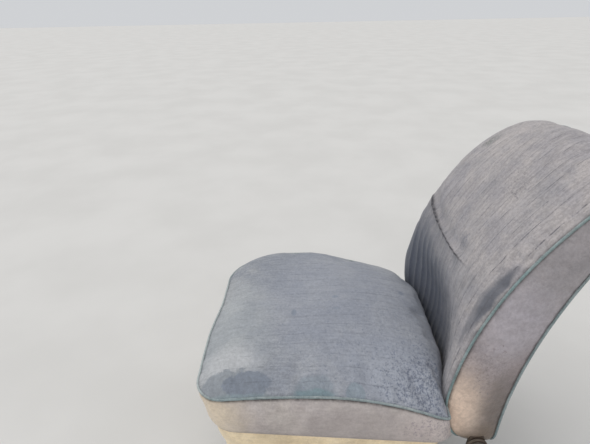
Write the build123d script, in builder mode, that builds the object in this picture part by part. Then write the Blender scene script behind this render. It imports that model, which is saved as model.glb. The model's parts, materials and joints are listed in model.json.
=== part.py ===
from build123d import *
import os
from math import cos, hypot, radians, sin, tan

os.makedirs("parts", exist_ok=True)

# Front seat of a light four-wheel-drive vehicle: a floor stand with slide rails, a sprung
# cushion on a tube frame, and a backrest that reclines on two side hinges.
# Millimetres. +X is the seat's left side, -Y the way it faces, +Z up.
# The origin is the centre of the four floor bolts, on the floor.

# Overall sizes of the upholstery
cushion_width = 500.0
cushion_front_y = -265.0
cushion_depth = 470.0
box_height = 94.0           # lower sprung box, at its front edge
pad_height = 78.0           # upper pad, at its front edge
level_depth = 205.0         # front stretch of the pad's top that is level
pad_rear_drop = 72.0        # how far the pad's top falls from front to rear
seam_rear_drop = 32.0       # how far the seam between box and pad falls to the rear
front_corner_radius = 75.0
rear_corner_radius = 55.0
box_side_inset = 7.0        # box behind the pad's edge, at the seam
box_taper = 13.0            # degrees, the box narrows downwards

# Backrest, measured from the hinge pivot
backrest_inset = 38.0       # backrest side behind the cushion's side
bulge_forward = 65.0
bulge_height = 130.0
heel_forward = 14.0
heel_drop = 15.0
belly_forward = 57.0        # point of the front between heel and bulge
belly_height = 50.0
shoulder_forward = 3.0      # point of the front between bulge and top
shoulder_height = 330.0
top_back = 180.0
top_height = 543.0
top_thickness = 40.0
top_fall = 8.0              # the rear edge of the top is lower than its front edge
back_mid_back = 43.0
back_mid_height = 120.0
heel_back = 33.0
top_corner_radius = 108.0
heel_corner_radius = 45.0
panel_thickness = 4.0
panel_inset = 16.0
outline_overlap = 6.0       # the front outline reaches this far past heel and top

# Hinges
pivot_behind_cushion = 42.0
pivot_above_tube = 35.0
pivot_radius = 6.0
pivot_clearance = 0.05
eye_radius = 20.0
arm_eye_radius = 18.0
arm_top_radius = 13.0
arm_top_forward = 2.0
arm_top_rise = 20.0
plate_thickness = 5.0
knee_radius = 10.0          # bend of the bracket under the rear tube
bracket_flange_length = 44.0
hinge_gap = 1.2
bolt_head_size = 9.5        # half the width across the head's corners
bolt_head_height = 7.0
lever_thickness = 4.0
lever_reach = 118.0
lever_fall = 46.0
lever_hub_radius = 17.0
lever_end_radius = 8.0
grip_length = 50.0
grip_wall = 3.0
grip_edge_cut = 2.0

# Cushion frame and springs
frame_tube_radius = 11.0
frame_inset = 50.0          # side tube's centre behind the cushion's side
frame_front_inset = 60.0
frame_rear_inset = 30.0
spring_count = 4
spring_spacing = 85.0
spring_bend_count = 7
spring_width = 64.0
spring_wire_size = 3.6
spring_bend_radius = 12.0
clip_wall = 1.6
clip_length = 14.0

# Slides
rail_length = 440.0
rail_width = 44.0
rail_wall = 2.5
rail_slot = 14.0
runner_flange_width = 34.0
runner_flange_height = 5.0
runner_web = 6.0
runner_top_width = 36.0
runner_top_height = 4.0
runner_lift = 10.0          # daylight between the rail and the runner's top flange
running_gap = 0.4
cradle_height = 14.0
cradle_width = 34.0
cradle_length = 50.0
cradle_end_margin = 15.0
cradle_side_angle = 80.0
front_cradle_inset = 49.0   # front cradle behind the front tube
slide_lever_width = 12.0
slide_lever_thickness = 5.0
slide_lever_reach = 80.0
slide_lever_return = 75.0
slide_lever_bend = 16.0

# Floor stand
stand_height = 125.0
stand_tube_size = 25.0
stand_edge_radius = 2.5
leg_spacing = 350.0
cross_tube_radius = 10.0
cross_tube_spacing = 200.0
strip_length = 450.0
strip_width = 42.0
strip_thickness = 5.0
strip_corner_cut = 9.0
floor_bolt_spacing = 410.0
floor_bolt_hole_radius = 5.25

# Clearances
seat_gap = 0.3              # between pieces that lie on each other
fit_gap = 0.15

# Heights of the stack, from the floor up
side_x = cushion_width / 2 - frame_inset
rail_height = 2 * rail_wall + runner_flange_height + 2 * running_gap
rail_top_z = stand_height + rail_height
runner_bottom_z = stand_height + rail_wall + running_gap
runner_top_z = rail_top_z + runner_lift + runner_top_height
frame_z = runner_top_z + cradle_height + frame_tube_radius
frame_top_z = frame_z + frame_tube_radius
wire_z = frame_top_z + seat_gap + spring_wire_size / 2
clip_top_z = wire_z + spring_wire_size / 2 + fit_gap + clip_wall
box_bottom_z = clip_top_z + seat_gap
seam_front_z = box_bottom_z + box_height
pad_top_z = seam_front_z + pad_height
cushion_rear_y = cushion_front_y + cushion_depth
front_tube_y = cushion_front_y + frame_front_inset
rear_tube_y = cushion_rear_y - frame_rear_inset
cradle_front_y = front_tube_y + frame_tube_radius + front_cradle_inset
bracket_front_y = rear_tube_y - frame_tube_radius - bracket_flange_length
cradle_rear_y = bracket_front_y - cradle_end_margin - cradle_length
runner_front_y = cradle_front_y - cradle_end_margin
runner_length = bracket_front_y - runner_front_y
pivot_y = cushion_rear_y + pivot_behind_cushion
pivot_z = frame_z + pivot_above_tube

# Sideways places of the hinge, from the backrest outwards
backrest_half_width = cushion_width / 2 - backrest_inset
arm_x = backrest_half_width + seat_gap
bracket_x = max(arm_x + plate_thickness + hinge_gap, side_x + frame_tube_radius + seat_gap)
lever_x = bracket_x + plate_thickness + seat_gap
head_x = lever_x + lever_thickness + seat_gap

SIDES = (("left", 1), ("right", -1))


def finish(piece, name):
    """Label a finished piece and write it."""
    piece.part.label = name
    export_step(piece.part, f"parts/{name}.step")


def from_pivot(back, up):
    """Point in the side view, measured back and up from the hinge pivot."""
    return (pivot_y + back, pivot_z + up)


# Floor stand

for side, sign in SIDES:
    # Flat steel strip that is bolted to the floor at both ends
    with BuildPart() as floor_strip:
        with BuildSketch() as strip_outline:
            with Locations((sign * side_x, 0)):
                Rectangle(strip_width, strip_length)
            chamfer(strip_outline.vertices(), strip_corner_cut)
            with Locations((sign * side_x, 0)):
                with GridLocations(0, floor_bolt_spacing, 1, 2):
                    Circle(floor_bolt_hole_radius, mode=Mode.SUBTRACT)
        extrude(amount=strip_thickness)
    finish(floor_strip, f"{side}_floor_strip")

    # Square tube hoop: two legs and the bar under the rail
    with BuildPart() as stand_hoop:
        with BuildSketch(Plane.YZ.offset(sign * side_x - stand_tube_size / 2)):
            with Locations((0, strip_thickness)):
                Rectangle(
                    leg_spacing + stand_tube_size,
                    stand_height - strip_thickness,
                    align=(Align.CENTER, Align.MIN),
                )
                Rectangle(
                    leg_spacing - stand_tube_size,
                    stand_height - strip_thickness - stand_tube_size,
                    align=(Align.CENTER, Align.MIN),
                    mode=Mode.SUBTRACT,
                )
        extrude(amount=stand_tube_size)
        long_edges = stand_hoop.edges().filter_by(Plane.YZ)
        fillet(long_edges.filter_by(lambda e: e.center().Z > strip_thickness), stand_edge_radius)
    finish(stand_hoop, f"{side}_stand_hoop")

    # Fixed slide rail: a channel whose lips turn in over the runner's flange
    with BuildPart() as rail:
        with BuildSketch(Plane.XZ.offset(-rail_length / 2)):
            with Locations((sign * side_x, stand_height + rail_height / 2)):
                Rectangle(rail_width, rail_height)
                Rectangle(
                    rail_width - 2 * rail_wall,
                    rail_height - 2 * rail_wall,
                    mode=Mode.SUBTRACT,
                )
            with Locations((sign * side_x, rail_top_z)):
                Rectangle(rail_slot, 2 * rail_wall, mode=Mode.SUBTRACT)
        extrude(amount=rail_length)
    finish(rail, f"{side}_rail")

for end, end_y in (("front", -cross_tube_spacing / 2), ("rear", cross_tube_spacing / 2)):
    # Straight tube that ties the two hoops together
    with BuildPart() as cross_tube:
        with BuildSketch(Plane.YZ.offset(-side_x + stand_tube_size / 2)):
            with Locations((end_y, stand_height - stand_tube_size / 2)):
                Circle(cross_tube_radius)
        extrude(amount=2 * side_x - stand_tube_size)
    finish(cross_tube, f"{end}_cross_tube")

# Sliding seat frame

for side, sign in SIDES:
    # Runner: flange inside the rail, web through its slot, flat top
    with BuildPart() as runner:
        with BuildSketch(Plane.XZ.offset(-runner_front_y - runner_length)):
            with Locations((sign * side_x, runner_bottom_z)):
                Rectangle(
                    runner_flange_width,
                    runner_flange_height,
                    align=(Align.CENTER, Align.MIN),
                )
                Rectangle(
                    runner_web,
                    runner_top_z - runner_bottom_z,
                    align=(Align.CENTER, Align.MIN),
                )
            with Locations((sign * side_x, runner_top_z)):
                Rectangle(
                    runner_top_width,
                    runner_top_height,
                    align=(Align.CENTER, Align.MAX),
                )
        extrude(amount=runner_length)
    finish(runner, f"{side}_runner")

    # Side tube of the cushion frame, coped onto the front and rear tubes
    with BuildPart() as side_tube:
        with BuildSketch(Plane.XZ.offset(-rear_tube_y)):
            with Locations((sign * side_x, frame_z)):
                Circle(frame_tube_radius)
        extrude(amount=rear_tube_y - front_tube_y)
        with BuildSketch(Plane.YZ.offset(sign * side_x)):
            with Locations((front_tube_y, frame_z), (rear_tube_y, frame_z)):
                Circle(frame_tube_radius + fit_gap)
        extrude(amount=2 * frame_tube_radius, both=True, mode=Mode.SUBTRACT)
    finish(side_tube, f"{side}_frame_tube")

    # Cradles that carry the side tube on the runner
    for end, start_y in (("front", cradle_front_y), ("rear", cradle_rear_y)):
        with BuildPart() as cradle:
            with BuildSketch(Plane.XZ.offset(-start_y - cradle_length)):
                with Locations((sign * side_x, runner_top_z)):
                    Trapezoid(
                        cradle_width,
                        frame_z - runner_top_z,
                        cradle_side_angle,
                        align=(Align.CENTER, Align.MIN),
                    )
                with Locations((sign * side_x, frame_z)):
                    Circle(frame_tube_radius + fit_gap, mode=Mode.SUBTRACT)
            extrude(amount=cradle_length)
        finish(cradle, f"{side}_{end}_cradle")

for end, bar_y in (("front", front_tube_y), ("rear", rear_tube_y)):
    # End tube of the cushion frame, across the seat
    with BuildPart() as end_tube:
        with BuildSketch(Plane.YZ.offset(-side_x - frame_tube_radius)):
            with Locations((bar_y, frame_z)):
                Circle(frame_tube_radius)
        extrude(amount=2 * (side_x + frame_tube_radius))
    finish(end_tube, f"{end}_frame_tube")

# Zigzag springs: straight wires across the seat, joined by round-cornered bends.
# A square section of the same size stands for the round wire.
spring_pitch = (rear_tube_y - front_tube_y) / spring_bend_count
spring_xs = [(i - (spring_count - 1) / 2) * spring_spacing for i in range(spring_count)]

with BuildPart() as seat_springs:
    for spring_x in spring_xs:
        bends = []
        for row in range(spring_bend_count + 1):
            row_y = front_tube_y + row * spring_pitch
            reach = spring_width / 2 if row % 2 == 0 else -spring_width / 2
            bends += [(spring_x - reach, row_y), (spring_x + reach, row_y)]
        with BuildSketch(Plane.XY.offset(wire_z - spring_wire_size / 2)):
            with BuildLine():
                FilletPolyline(*bends, radius=spring_bend_radius)
            trace(line_width=spring_wire_size)
        extrude(amount=spring_wire_size)
finish(seat_springs, "seat_springs")

# Strap clips that hold the first and last wire of each spring on the end tubes
clip_inside = spring_wire_size + 2 * fit_gap
with BuildPart() as spring_clips:
    for spring_x in spring_xs:
        with BuildSketch(Plane.YZ.offset(spring_x - clip_length / 2)):
            for clip_y in (front_tube_y, rear_tube_y):
                with Locations((clip_y, frame_top_z)):
                    Rectangle(
                        clip_inside + 2 * clip_wall,
                        clip_top_z - frame_top_z,
                        align=(Align.CENTER, Align.MIN),
                    )
                    Rectangle(
                        clip_inside,
                        clip_top_z - frame_top_z - clip_wall,
                        align=(Align.CENTER, Align.MIN),
                        mode=Mode.SUBTRACT,
                    )
        extrude(amount=clip_length)
finish(spring_clips, "spring_clips")

# Slide lever: a bent flat bar from the left front cradle to the front edge
lever_bar_x = side_x - cradle_width / 2 - slide_lever_width / 2 - seat_gap
lever_bar_z = runner_top_z + seat_gap + slide_lever_thickness / 2
lever_rear_y = cradle_front_y + cradle_length
lever_front_y = cradle_front_y - slide_lever_reach
with BuildPart() as slide_lever:
    with BuildLine(Plane.XY.offset(lever_bar_z)):
        FilletPolyline(
            (lever_bar_x, lever_rear_y),
            (lever_bar_x, lever_front_y),
            (lever_bar_x - slide_lever_return, lever_front_y),
            radius=slide_lever_bend,
        )
    with BuildSketch(Plane.XZ.offset(-lever_rear_y)):
        with Locations((lever_bar_x, lever_bar_z)):
            Rectangle(slide_lever_width, slide_lever_thickness)
    sweep()
finish(slide_lever, "slide_lever")

# Moulded grip pushed over the lever's free end
grip_width = slide_lever_width + 2 * grip_wall
grip_thickness = slide_lever_thickness + 2 * grip_wall
lever_end_x = lever_bar_x - slide_lever_return
with BuildPart() as slide_lever_grip:
    with Locations((lever_end_x - grip_wall, lever_front_y, lever_bar_z)):
        Box(grip_length, grip_width, grip_thickness, align=(Align.MIN, Align.CENTER, Align.CENTER))
    chamfer(slide_lever_grip.edges().filter_by(Axis.X), grip_edge_cut)
    with Locations((lever_end_x - fit_gap, lever_front_y, lever_bar_z)):
        Box(
            grip_length,
            slide_lever_width + 2 * fit_gap,
            slide_lever_thickness + 2 * fit_gap,
            align=(Align.MIN, Align.CENTER, Align.CENTER),
            mode=Mode.SUBTRACT,
        )
finish(slide_lever_grip, "slide_lever_grip")

# Hinges

pivot = (pivot_y, pivot_z)
bracket_floor_z = frame_z - frame_tube_radius - plate_thickness
knee_y = rear_tube_y + frame_tube_radius + knee_radius

for side, sign in SIDES:
    # Bracket on the seat frame: a bar under the side tube that rises to the pivot eye
    outside = sign * (bracket_x + plate_thickness)
    with BuildPart() as hinge_bracket:
        with BuildSketch(Plane.YZ.offset(sign * bracket_x)):
            with Locations(pivot):
                Circle(eye_radius)
            with Locations((knee_y, bracket_floor_z + knee_radius)):
                Circle(knee_radius)
            make_hull()
            with Locations((bracket_front_y, bracket_floor_z)):
                Rectangle(
                    knee_y - bracket_front_y,
                    2 * knee_radius,
                    align=(Align.MIN, Align.MIN),
                )
            with Locations(pivot):
                Circle(pivot_radius + fit_gap, mode=Mode.SUBTRACT)
        extrude(amount=sign * plate_thickness)
        flange_inner = side_x - frame_tube_radius
        with BuildSketch(Plane.XY.offset(bracket_floor_z)):
            with Locations((sign * flange_inner, bracket_front_y)):
                Rectangle(
                    bracket_x - flange_inner,
                    rear_tube_y - frame_tube_radius - bracket_front_y,
                    align=(Align.MIN if sign > 0 else Align.MAX, Align.MIN),
                )
        extrude(amount=plate_thickness)
    finish(hinge_bracket, f"{side}_hinge_bracket")

    # Arm on the backrest's side
    with BuildPart() as hinge_arm:
        with BuildSketch(Plane.YZ.offset(sign * arm_x)):
            with Locations(pivot):
                Circle(arm_eye_radius)
            with Locations(from_pivot(-arm_top_forward, arm_top_rise)):
                Circle(arm_top_radius)
            make_hull()
            with Locations(pivot):
                Circle(pivot_radius + pivot_clearance, mode=Mode.SUBTRACT)
        extrude(amount=sign * plate_thickness)
    finish(hinge_arm, f"{side}_hinge_arm")

    # Pivot bolt through arm and bracket, with its head outside
    with BuildPart() as pivot_bolt:
        with BuildSketch(Plane.YZ.offset(sign * arm_x)):
            with Locations(pivot):
                Circle(pivot_radius)
        extrude(amount=sign * (head_x - arm_x))
        with BuildSketch(Plane.YZ.offset(sign * head_x)):
            with Locations(pivot):
                RegularPolygon(bolt_head_size, 6)
        extrude(amount=sign * bolt_head_height)
    finish(pivot_bolt, f"{side}_pivot_bolt")

# Recliner lever on the left pivot
lever_end = from_pivot(-lever_reach, -lever_fall)
with BuildPart() as recliner_lever:
    with BuildSketch(Plane.YZ.offset(lever_x)) as lever_outline:
        with Locations(pivot):
            Circle(lever_hub_radius)
        with Locations(lever_end):
            Circle(lever_end_radius)
        make_hull()
        with Locations(pivot):
            Circle(pivot_radius + fit_gap, mode=Mode.SUBTRACT)
    extrude(amount=lever_thickness)
finish(recliner_lever, "recliner_lever")

# Its moulded grip caps the front end from outside, clear of the bracket behind the lever
grip_share = grip_length / hypot(lever_reach, lever_fall)
grip_back_end = from_pivot(-lever_reach * (1 - grip_share), -lever_fall * (1 - grip_share))
lever_back_radius = lever_end_radius + (lever_hub_radius - lever_end_radius) * grip_share
with BuildPart() as recliner_grip:
    with BuildSketch(Plane.YZ.offset(lever_x)):
        with Locations(lever_end):
            Circle(lever_end_radius + grip_wall)
        with Locations(grip_back_end):
            Circle(lever_back_radius + grip_wall)
        make_hull()
    extrude(amount=lever_thickness + fit_gap + grip_wall)
    chamfer(recliner_grip.faces().sort_by(Axis.X)[-1].edges(), grip_edge_cut)
    with BuildSketch(Plane.YZ.offset(lever_x)):
        add(lever_outline.sketch_local)
        offset(amount=fit_gap)
    extrude(amount=lever_thickness + fit_gap, mode=Mode.SUBTRACT)
finish(recliner_grip, "recliner_grip")

# Upholstery: plain closed solids of the true outer form

seam_slope = seam_rear_drop / cushion_depth
seam_plane = Plane(
    origin=(0, cushion_front_y, seam_front_z), x_dir=(1, 0, 0), z_dir=(0, seam_slope, 1)
)

with BuildSketch(Plane.YZ) as backrest_side:
    with BuildLine():
        heel_front = from_pivot(-heel_forward, -heel_drop)
        bulge = from_pivot(-bulge_forward, bulge_height)
        top_front = from_pivot(top_back, top_height)
        top_rear = from_pivot(top_back + top_thickness, top_height - top_fall)
        heel_rear = from_pivot(heel_back, -heel_drop)
        ThreePointArc(heel_front, from_pivot(-belly_forward, belly_height), bulge)
        ThreePointArc(bulge, from_pivot(-shoulder_forward, shoulder_height), top_front)
        Line(top_front, top_rear)
        ThreePointArc(top_rear, from_pivot(back_mid_back, back_mid_height), heel_rear)
        Line(heel_rear, heel_front)
    make_face()

with BuildPart() as cushion_box:
    with BuildSketch(Plane.XY.offset(box_bottom_z)) as box_outline:
        draw_in = box_side_inset + box_height * tan(radians(box_taper))
        with Locations((0, cushion_front_y + cushion_depth / 2)):
            Rectangle(cushion_width - 2 * draw_in, cushion_depth - 2 * draw_in)
        front_corners = box_outline.vertices().sort_by(Axis.Y)[:2]
        rear_corners = box_outline.vertices().sort_by(Axis.Y)[2:]
        fillet(front_corners, front_corner_radius - draw_in)
        fillet(rear_corners, rear_corner_radius - draw_in)
    extrude(amount=box_height, taper=-box_taper)
    split(bisect_by=seam_plane.offset(-seat_gap), keep=Keep.BOTTOM)
    with BuildSketch(Plane.YZ):
        add(backrest_side.sketch_local)
        offset(amount=seat_gap)
    extrude(amount=cushion_width, both=True, mode=Mode.SUBTRACT)
finish(cushion_box, "cushion_box")

with BuildPart() as cushion_pad:
    with BuildSketch(Plane.XY.offset(box_bottom_z)) as pad_outline:
        with Locations((0, cushion_front_y + cushion_depth / 2)):
            Rectangle(cushion_width, cushion_depth)
        front_corners = pad_outline.vertices().sort_by(Axis.Y)[:2]
        rear_corners = pad_outline.vertices().sort_by(Axis.Y)[2:]
        fillet(front_corners, front_corner_radius)
        fillet(rear_corners, rear_corner_radius)
    extrude(amount=box_height + pad_height)
    with BuildSketch(Plane.YZ):
        with BuildLine():
            crest_y = cushion_front_y + level_depth
            pad_rear_z = pad_top_z - pad_rear_drop
            seam_rear_z = seam_front_z - seam_rear_drop
            Line((cushion_front_y, seam_front_z), (cushion_front_y, pad_top_z))
            Line((cushion_front_y, pad_top_z), (crest_y, pad_top_z))
            TangentArc((crest_y, pad_top_z), (cushion_rear_y, pad_rear_z), tangent=(1, 0))
            Line((cushion_rear_y, pad_rear_z), (cushion_rear_y, seam_rear_z))
            Line((cushion_rear_y, seam_rear_z), (cushion_front_y, seam_front_z))
        make_face()
    extrude(amount=cushion_width, both=True, mode=Mode.INTERSECT)
    with BuildSketch(Plane.YZ):
        add(backrest_side.sketch_local)
        offset(amount=seat_gap)
    extrude(amount=cushion_width, both=True, mode=Mode.SUBTRACT)
finish(cushion_pad, "cushion_pad")

# The backrest's outline is drawn in the plane that leans with it
chord = Vector(*top_front) - Vector(*heel_front)
lean = radians(90 - chord.get_angle(Vector(1, 0)))
backrest_plane = Plane(
    origin=(0, heel_front[0], heel_front[1]),
    x_dir=(1, 0, 0),
    z_dir=(0, -cos(lean), sin(lean)),
)
outline_length = chord.length + top_fall + 2 * outline_overlap

with BuildPart() as backrest_pad:
    with BuildSketch(backrest_plane) as pad_face:
        with Locations((0, -outline_overlap)):
            Rectangle(
                2 * backrest_half_width, outline_length, align=(Align.CENTER, Align.MIN)
            )
        fillet(pad_face.vertices().group_by(Axis.Y)[-1], top_corner_radius)
        fillet(pad_face.vertices().group_by(Axis.Y)[0], heel_corner_radius)
    extrude(amount=outline_length / 2, both=True)
    with BuildSketch(Plane.YZ):
        add(backrest_side.sketch_local)
    extrude(amount=cushion_width, both=True, mode=Mode.INTERSECT)
finish(backrest_pad, "backrest_pad")

with BuildPart() as backrest_panel:
    with BuildSketch(backrest_plane) as panel_face:
        with Locations((0, panel_inset)):
            Rectangle(
                2 * (backrest_half_width - panel_inset),
                chord.length - 2 * panel_inset,
                align=(Align.CENTER, Align.MIN),
            )
        fillet(panel_face.vertices().group_by(Axis.Y)[-1], top_corner_radius - panel_inset)
        fillet(panel_face.vertices().group_by(Axis.Y)[0], heel_corner_radius - panel_inset)
    extrude(amount=outline_length / 2, both=True)
    with BuildSketch(Plane.YZ):
        with BuildLine():
            skin = seat_gap + panel_thickness
            inner_top = (top_rear[0] + seat_gap, top_rear[1])
            inner_mid = from_pivot(back_mid_back + seat_gap, back_mid_height)
            inner_heel = (heel_rear[0] + seat_gap, heel_rear[1])
            outer_top = (top_rear[0] + skin, top_rear[1])
            outer_mid = from_pivot(back_mid_back + skin, back_mid_height)
            outer_heel = (heel_rear[0] + skin, heel_rear[1])
            ThreePointArc(inner_top, inner_mid, inner_heel)
            Line(inner_heel, outer_heel)
            ThreePointArc(outer_heel, outer_mid, outer_top)
            Line(outer_top, inner_top)
        make_face()
    extrude(amount=cushion_width, both=True, mode=Mode.INTERSECT)
finish(backrest_panel, "backrest_panel")
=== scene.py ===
"""Front seat of a light four-wheel-drive army vehicle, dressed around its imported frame.

Forms are worked out in millimetres in the part's own frame: +X is the seat's left side, -Y the
way it faces, +Z up, and the floor is at Z = 0. They reach Blender in metres.
"""

import json
import logging
import math
from collections.abc import Callable, Sequence
from dataclasses import dataclass, field, replace
from enum import Enum
from functools import cache

import bmesh
import bpy
import numpy as np
from mathutils import Matrix, Vector


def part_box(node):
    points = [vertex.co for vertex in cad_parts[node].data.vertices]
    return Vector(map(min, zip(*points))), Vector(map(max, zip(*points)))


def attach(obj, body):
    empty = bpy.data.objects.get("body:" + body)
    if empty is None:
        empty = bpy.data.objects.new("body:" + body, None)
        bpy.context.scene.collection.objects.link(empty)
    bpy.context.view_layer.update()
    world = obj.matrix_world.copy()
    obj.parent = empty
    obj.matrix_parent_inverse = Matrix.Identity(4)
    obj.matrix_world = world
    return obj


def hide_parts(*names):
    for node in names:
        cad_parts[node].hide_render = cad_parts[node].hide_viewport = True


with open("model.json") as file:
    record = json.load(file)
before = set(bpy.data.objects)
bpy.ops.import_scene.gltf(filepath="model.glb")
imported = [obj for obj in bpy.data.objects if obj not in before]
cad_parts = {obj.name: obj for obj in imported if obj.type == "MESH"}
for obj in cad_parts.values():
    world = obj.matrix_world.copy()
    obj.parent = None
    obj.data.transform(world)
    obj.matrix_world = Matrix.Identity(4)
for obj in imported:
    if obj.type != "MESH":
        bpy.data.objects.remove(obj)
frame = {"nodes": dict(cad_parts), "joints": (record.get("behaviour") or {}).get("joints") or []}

LOG = logging.getLogger("seat")
MM = 0.001
PLEAT_PITCH = 26.5
Pair = tuple[np.ndarray, np.ndarray]
Point = tuple[float, float, float]
Span = tuple[float, float]
Tint = tuple[int, int, int]
Value = float | Sequence[float] | bpy.types.NodeSocket
Wiring = Callable[..., Value]


class Region(Enum):
    """The three covers that a pad is sewn from, by their material index."""

    FACE = 0
    BAND = 1
    BACK = 2


# Curves and grids


def arc_through(start: Sequence[float], middle: Sequence[float], end: Sequence[float],
                count: int) -> np.ndarray:
    """Points along the circular arc through three points of a plane.

    Args:
        start: First point of the arc.
        middle: Any point on the arc between its ends.
        end: Last point of the arc.
        count: How many points to give.

    Returns:
        An array of count points, two numbers each.
    """
    a, b, c = (np.array(p, float) for p in (start, middle, end))
    centre = np.linalg.solve(2 * np.array([b - a, c - a]), [b @ b - a @ a, c @ c - a @ a])
    radius = np.linalg.norm(a - centre)
    angles = np.unwrap([math.atan2(*(p - centre)[::-1]) for p in (a, b, c)])
    turn = np.linspace(angles[0], angles[2], count)
    return centre + radius * np.stack([np.cos(turn), np.sin(turn)], 1)


def shoulder(distance: np.ndarray, reach: float, fullness: float = 2.2) -> np.ndarray:
    """Rise of a stuffed cover, from 0 at its seam to 1 at its reach."""
    return 1 - (1 - np.clip(distance / reach, 0, 1)) ** fullness


def bell(value: np.ndarray, centre: float, spread: float) -> np.ndarray:
    """A smooth bump of height 1, which is down to 0.61 one spread from its centre."""
    return np.exp(-0.5 * ((value - centre) / spread) ** 2)


def ease(value: np.ndarray, low: float, high: float) -> np.ndarray:
    """Smooth step from 0 at low to 1 at high."""
    share = np.clip((value - low) / (high - low), 0, 1)
    return share * share * (3 - 2 * share)


def crowded(start: float, end: float, count: int, ends: float = 0.55) -> np.ndarray:
    """Samples that crowd at both ends: evenly at 0, and as on a circle at 1."""
    even = np.linspace(0, 1, count)
    return start + (end - start) * (ends * (0.5 - 0.5 * np.cos(math.pi * even)) + (1 - ends) * even)


def arch(across: np.ndarray, fullness: float = 1.0) -> np.ndarray:
    """A band's swell, from 0 at its seams to 1 in the middle, and fuller for a lower exponent."""
    return np.sin(math.pi * across) ** fullness


def waves(size: float, u: np.ndarray, v: np.ndarray, lengths: Span, shifts: Span = (0, 0)) -> np.ndarray:
    """Slow unevenness of some size over two directions of a stuffed cover."""
    return size * np.sin(u / lengths[0] + shifts[0]) * np.sin(v / lengths[1] + shifts[1])


def unit(vectors: np.ndarray) -> np.ndarray:
    """Vectors scaled to a length of 1 along the last axis."""
    return vectors / np.maximum(np.linalg.norm(vectors, axis=-1, keepdims=True), 1e-9)


def spline_weights(knots: np.ndarray, at: np.ndarray) -> np.ndarray:
    """Matrix that turns values at knots into a smooth curve's values at other places.

    Args:
        knots: Places of the known values, in order.
        at: Places where the curve is wanted.

    Returns:
        One row of weights for each place.
    """
    last = len(knots) - 1
    span = np.clip(np.searchsorted(knots, at, side="right") - 1, 0, last - 1)
    width = knots[span + 1] - knots[span]
    t = np.clip((at - knots[span]) / width, 0, 1)
    rows = np.arange(len(at))
    weights = np.zeros((len(at), len(knots)))
    np.add.at(weights, (rows, span), 2 * t**3 - 3 * t**2 + 1)
    np.add.at(weights, (rows, span + 1), 3 * t**2 - 2 * t**3)
    for step, share in ((0, t**3 - 2 * t**2 + t), (1, t**3 - t**2)):
        before = np.maximum(span + step - 1, 0)
        after = np.minimum(span + step + 1, last)
        slope = share * width / (knots[after] - knots[before])
        np.add.at(weights, (rows, after), slope)
        np.add.at(weights, (rows, before), -slope)
    return weights


def rim_index(rows: int, columns: int) -> Pair:
    """Row and column of each point once round the rim of a grid.

    Args:
        rows: Rows of the grid.
        columns: Columns of the grid.

    Returns:
        Row numbers and column numbers.
    """
    across, along = np.arange(columns), np.arange(rows)
    row = np.concatenate([0 * across, along[1:], 0 * across[1:] + rows - 1, along[-2:0:-1]])
    column = np.concatenate([across, 0 * along[1:] + columns - 1, across[-2::-1], 0 * along[-2:0:-1]])
    return row, column


def grid_quads(index: np.ndarray) -> np.ndarray:
    """The four point numbers of each cell of a numbered grid."""
    cells = np.stack([index[:-1, :-1], index[:-1, 1:], index[1:, 1:], index[1:, :-1]], -1)
    return cells.reshape(-1, 4)


def resampled(path: np.ndarray, step: float) -> np.ndarray:
    """A closed path with its points at an even spacing.

    Args:
        path: Points of the path, with anything that goes along with them in more columns.
        step: About how far apart the new points are.

    Returns:
        The new points.
    """
    run = np.concatenate([path, path[:1]])
    length = np.concatenate([[0], np.cumsum(np.linalg.norm(np.diff(run, axis=0), axis=1))])
    at = np.linspace(0, length[-1], max(int(round(length[-1] / step)), 4) + 1)
    return np.stack([np.interp(at, length, column) for column in run.T], 1)[:-1]


@dataclass(frozen=True)
class SideCurve:
    """A curve of the side view, read by a height that each of its points is marked with."""

    points: np.ndarray
    marks: np.ndarray
    nudge: float = 4.0

    def at(self, height: np.ndarray) -> Pair:
        """The curve's Y and Z at some heights."""
        y, z = (np.interp(height, self.marks, self.points[:, i]) for i in (0, 1))
        return y, z

    def forward(self, height: np.ndarray) -> Pair:
        """Unit vector that points forward out of the curve.

        Args:
            height: Heights as the curve is marked.

        Returns:
            Its Y components and Z components.
        """
        (y0, z0), (y1, z1) = self.at(height - self.nudge), self.at(height + self.nudge)
        length = np.maximum(np.hypot(y1 - y0, z1 - z0), 1e-9)
        return -(z1 - z0) / length, (y1 - y0) / length


@dataclass(frozen=True)
class Outline:
    """Rounded outline, as the start and end of each column of constant X."""

    half_width: float
    start: float
    end: float
    start_radius: float
    end_radius: float
    slack: float = 0.0
    set_back: float = 0.0
    set_back_over: Span = (-100.0, 40.0)

    def _inset(self, x: np.ndarray, radius: float | np.ndarray) -> np.ndarray:
        """How far a corner of some radius holds each column back."""
        past = np.clip(np.abs(x) - (self.half_width - radius), 0, radius)
        return radius - np.sqrt(radius**2 - past**2)

    def first(self, x: np.ndarray) -> np.ndarray:
        """Start of each column: set back on the right, where the corner is rounder by the slack."""
        start = self.start + self.set_back * ease(-x, *self.set_back_over)
        return start + self._inset(x, self.start_radius + self.slack * (x < 0))

    def last(self, x: np.ndarray) -> np.ndarray:
        """End of each column."""
        return self.end - self._inset(x, self.end_radius)

    def drawn_in(self, by: float) -> "Outline":
        """The same outline, smaller all round."""
        return replace(self, half_width=self.half_width - by, start=self.start + by, end=self.end - by,
                       start_radius=self.start_radius - by, end_radius=self.end_radius - by)


# Meshes


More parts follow.
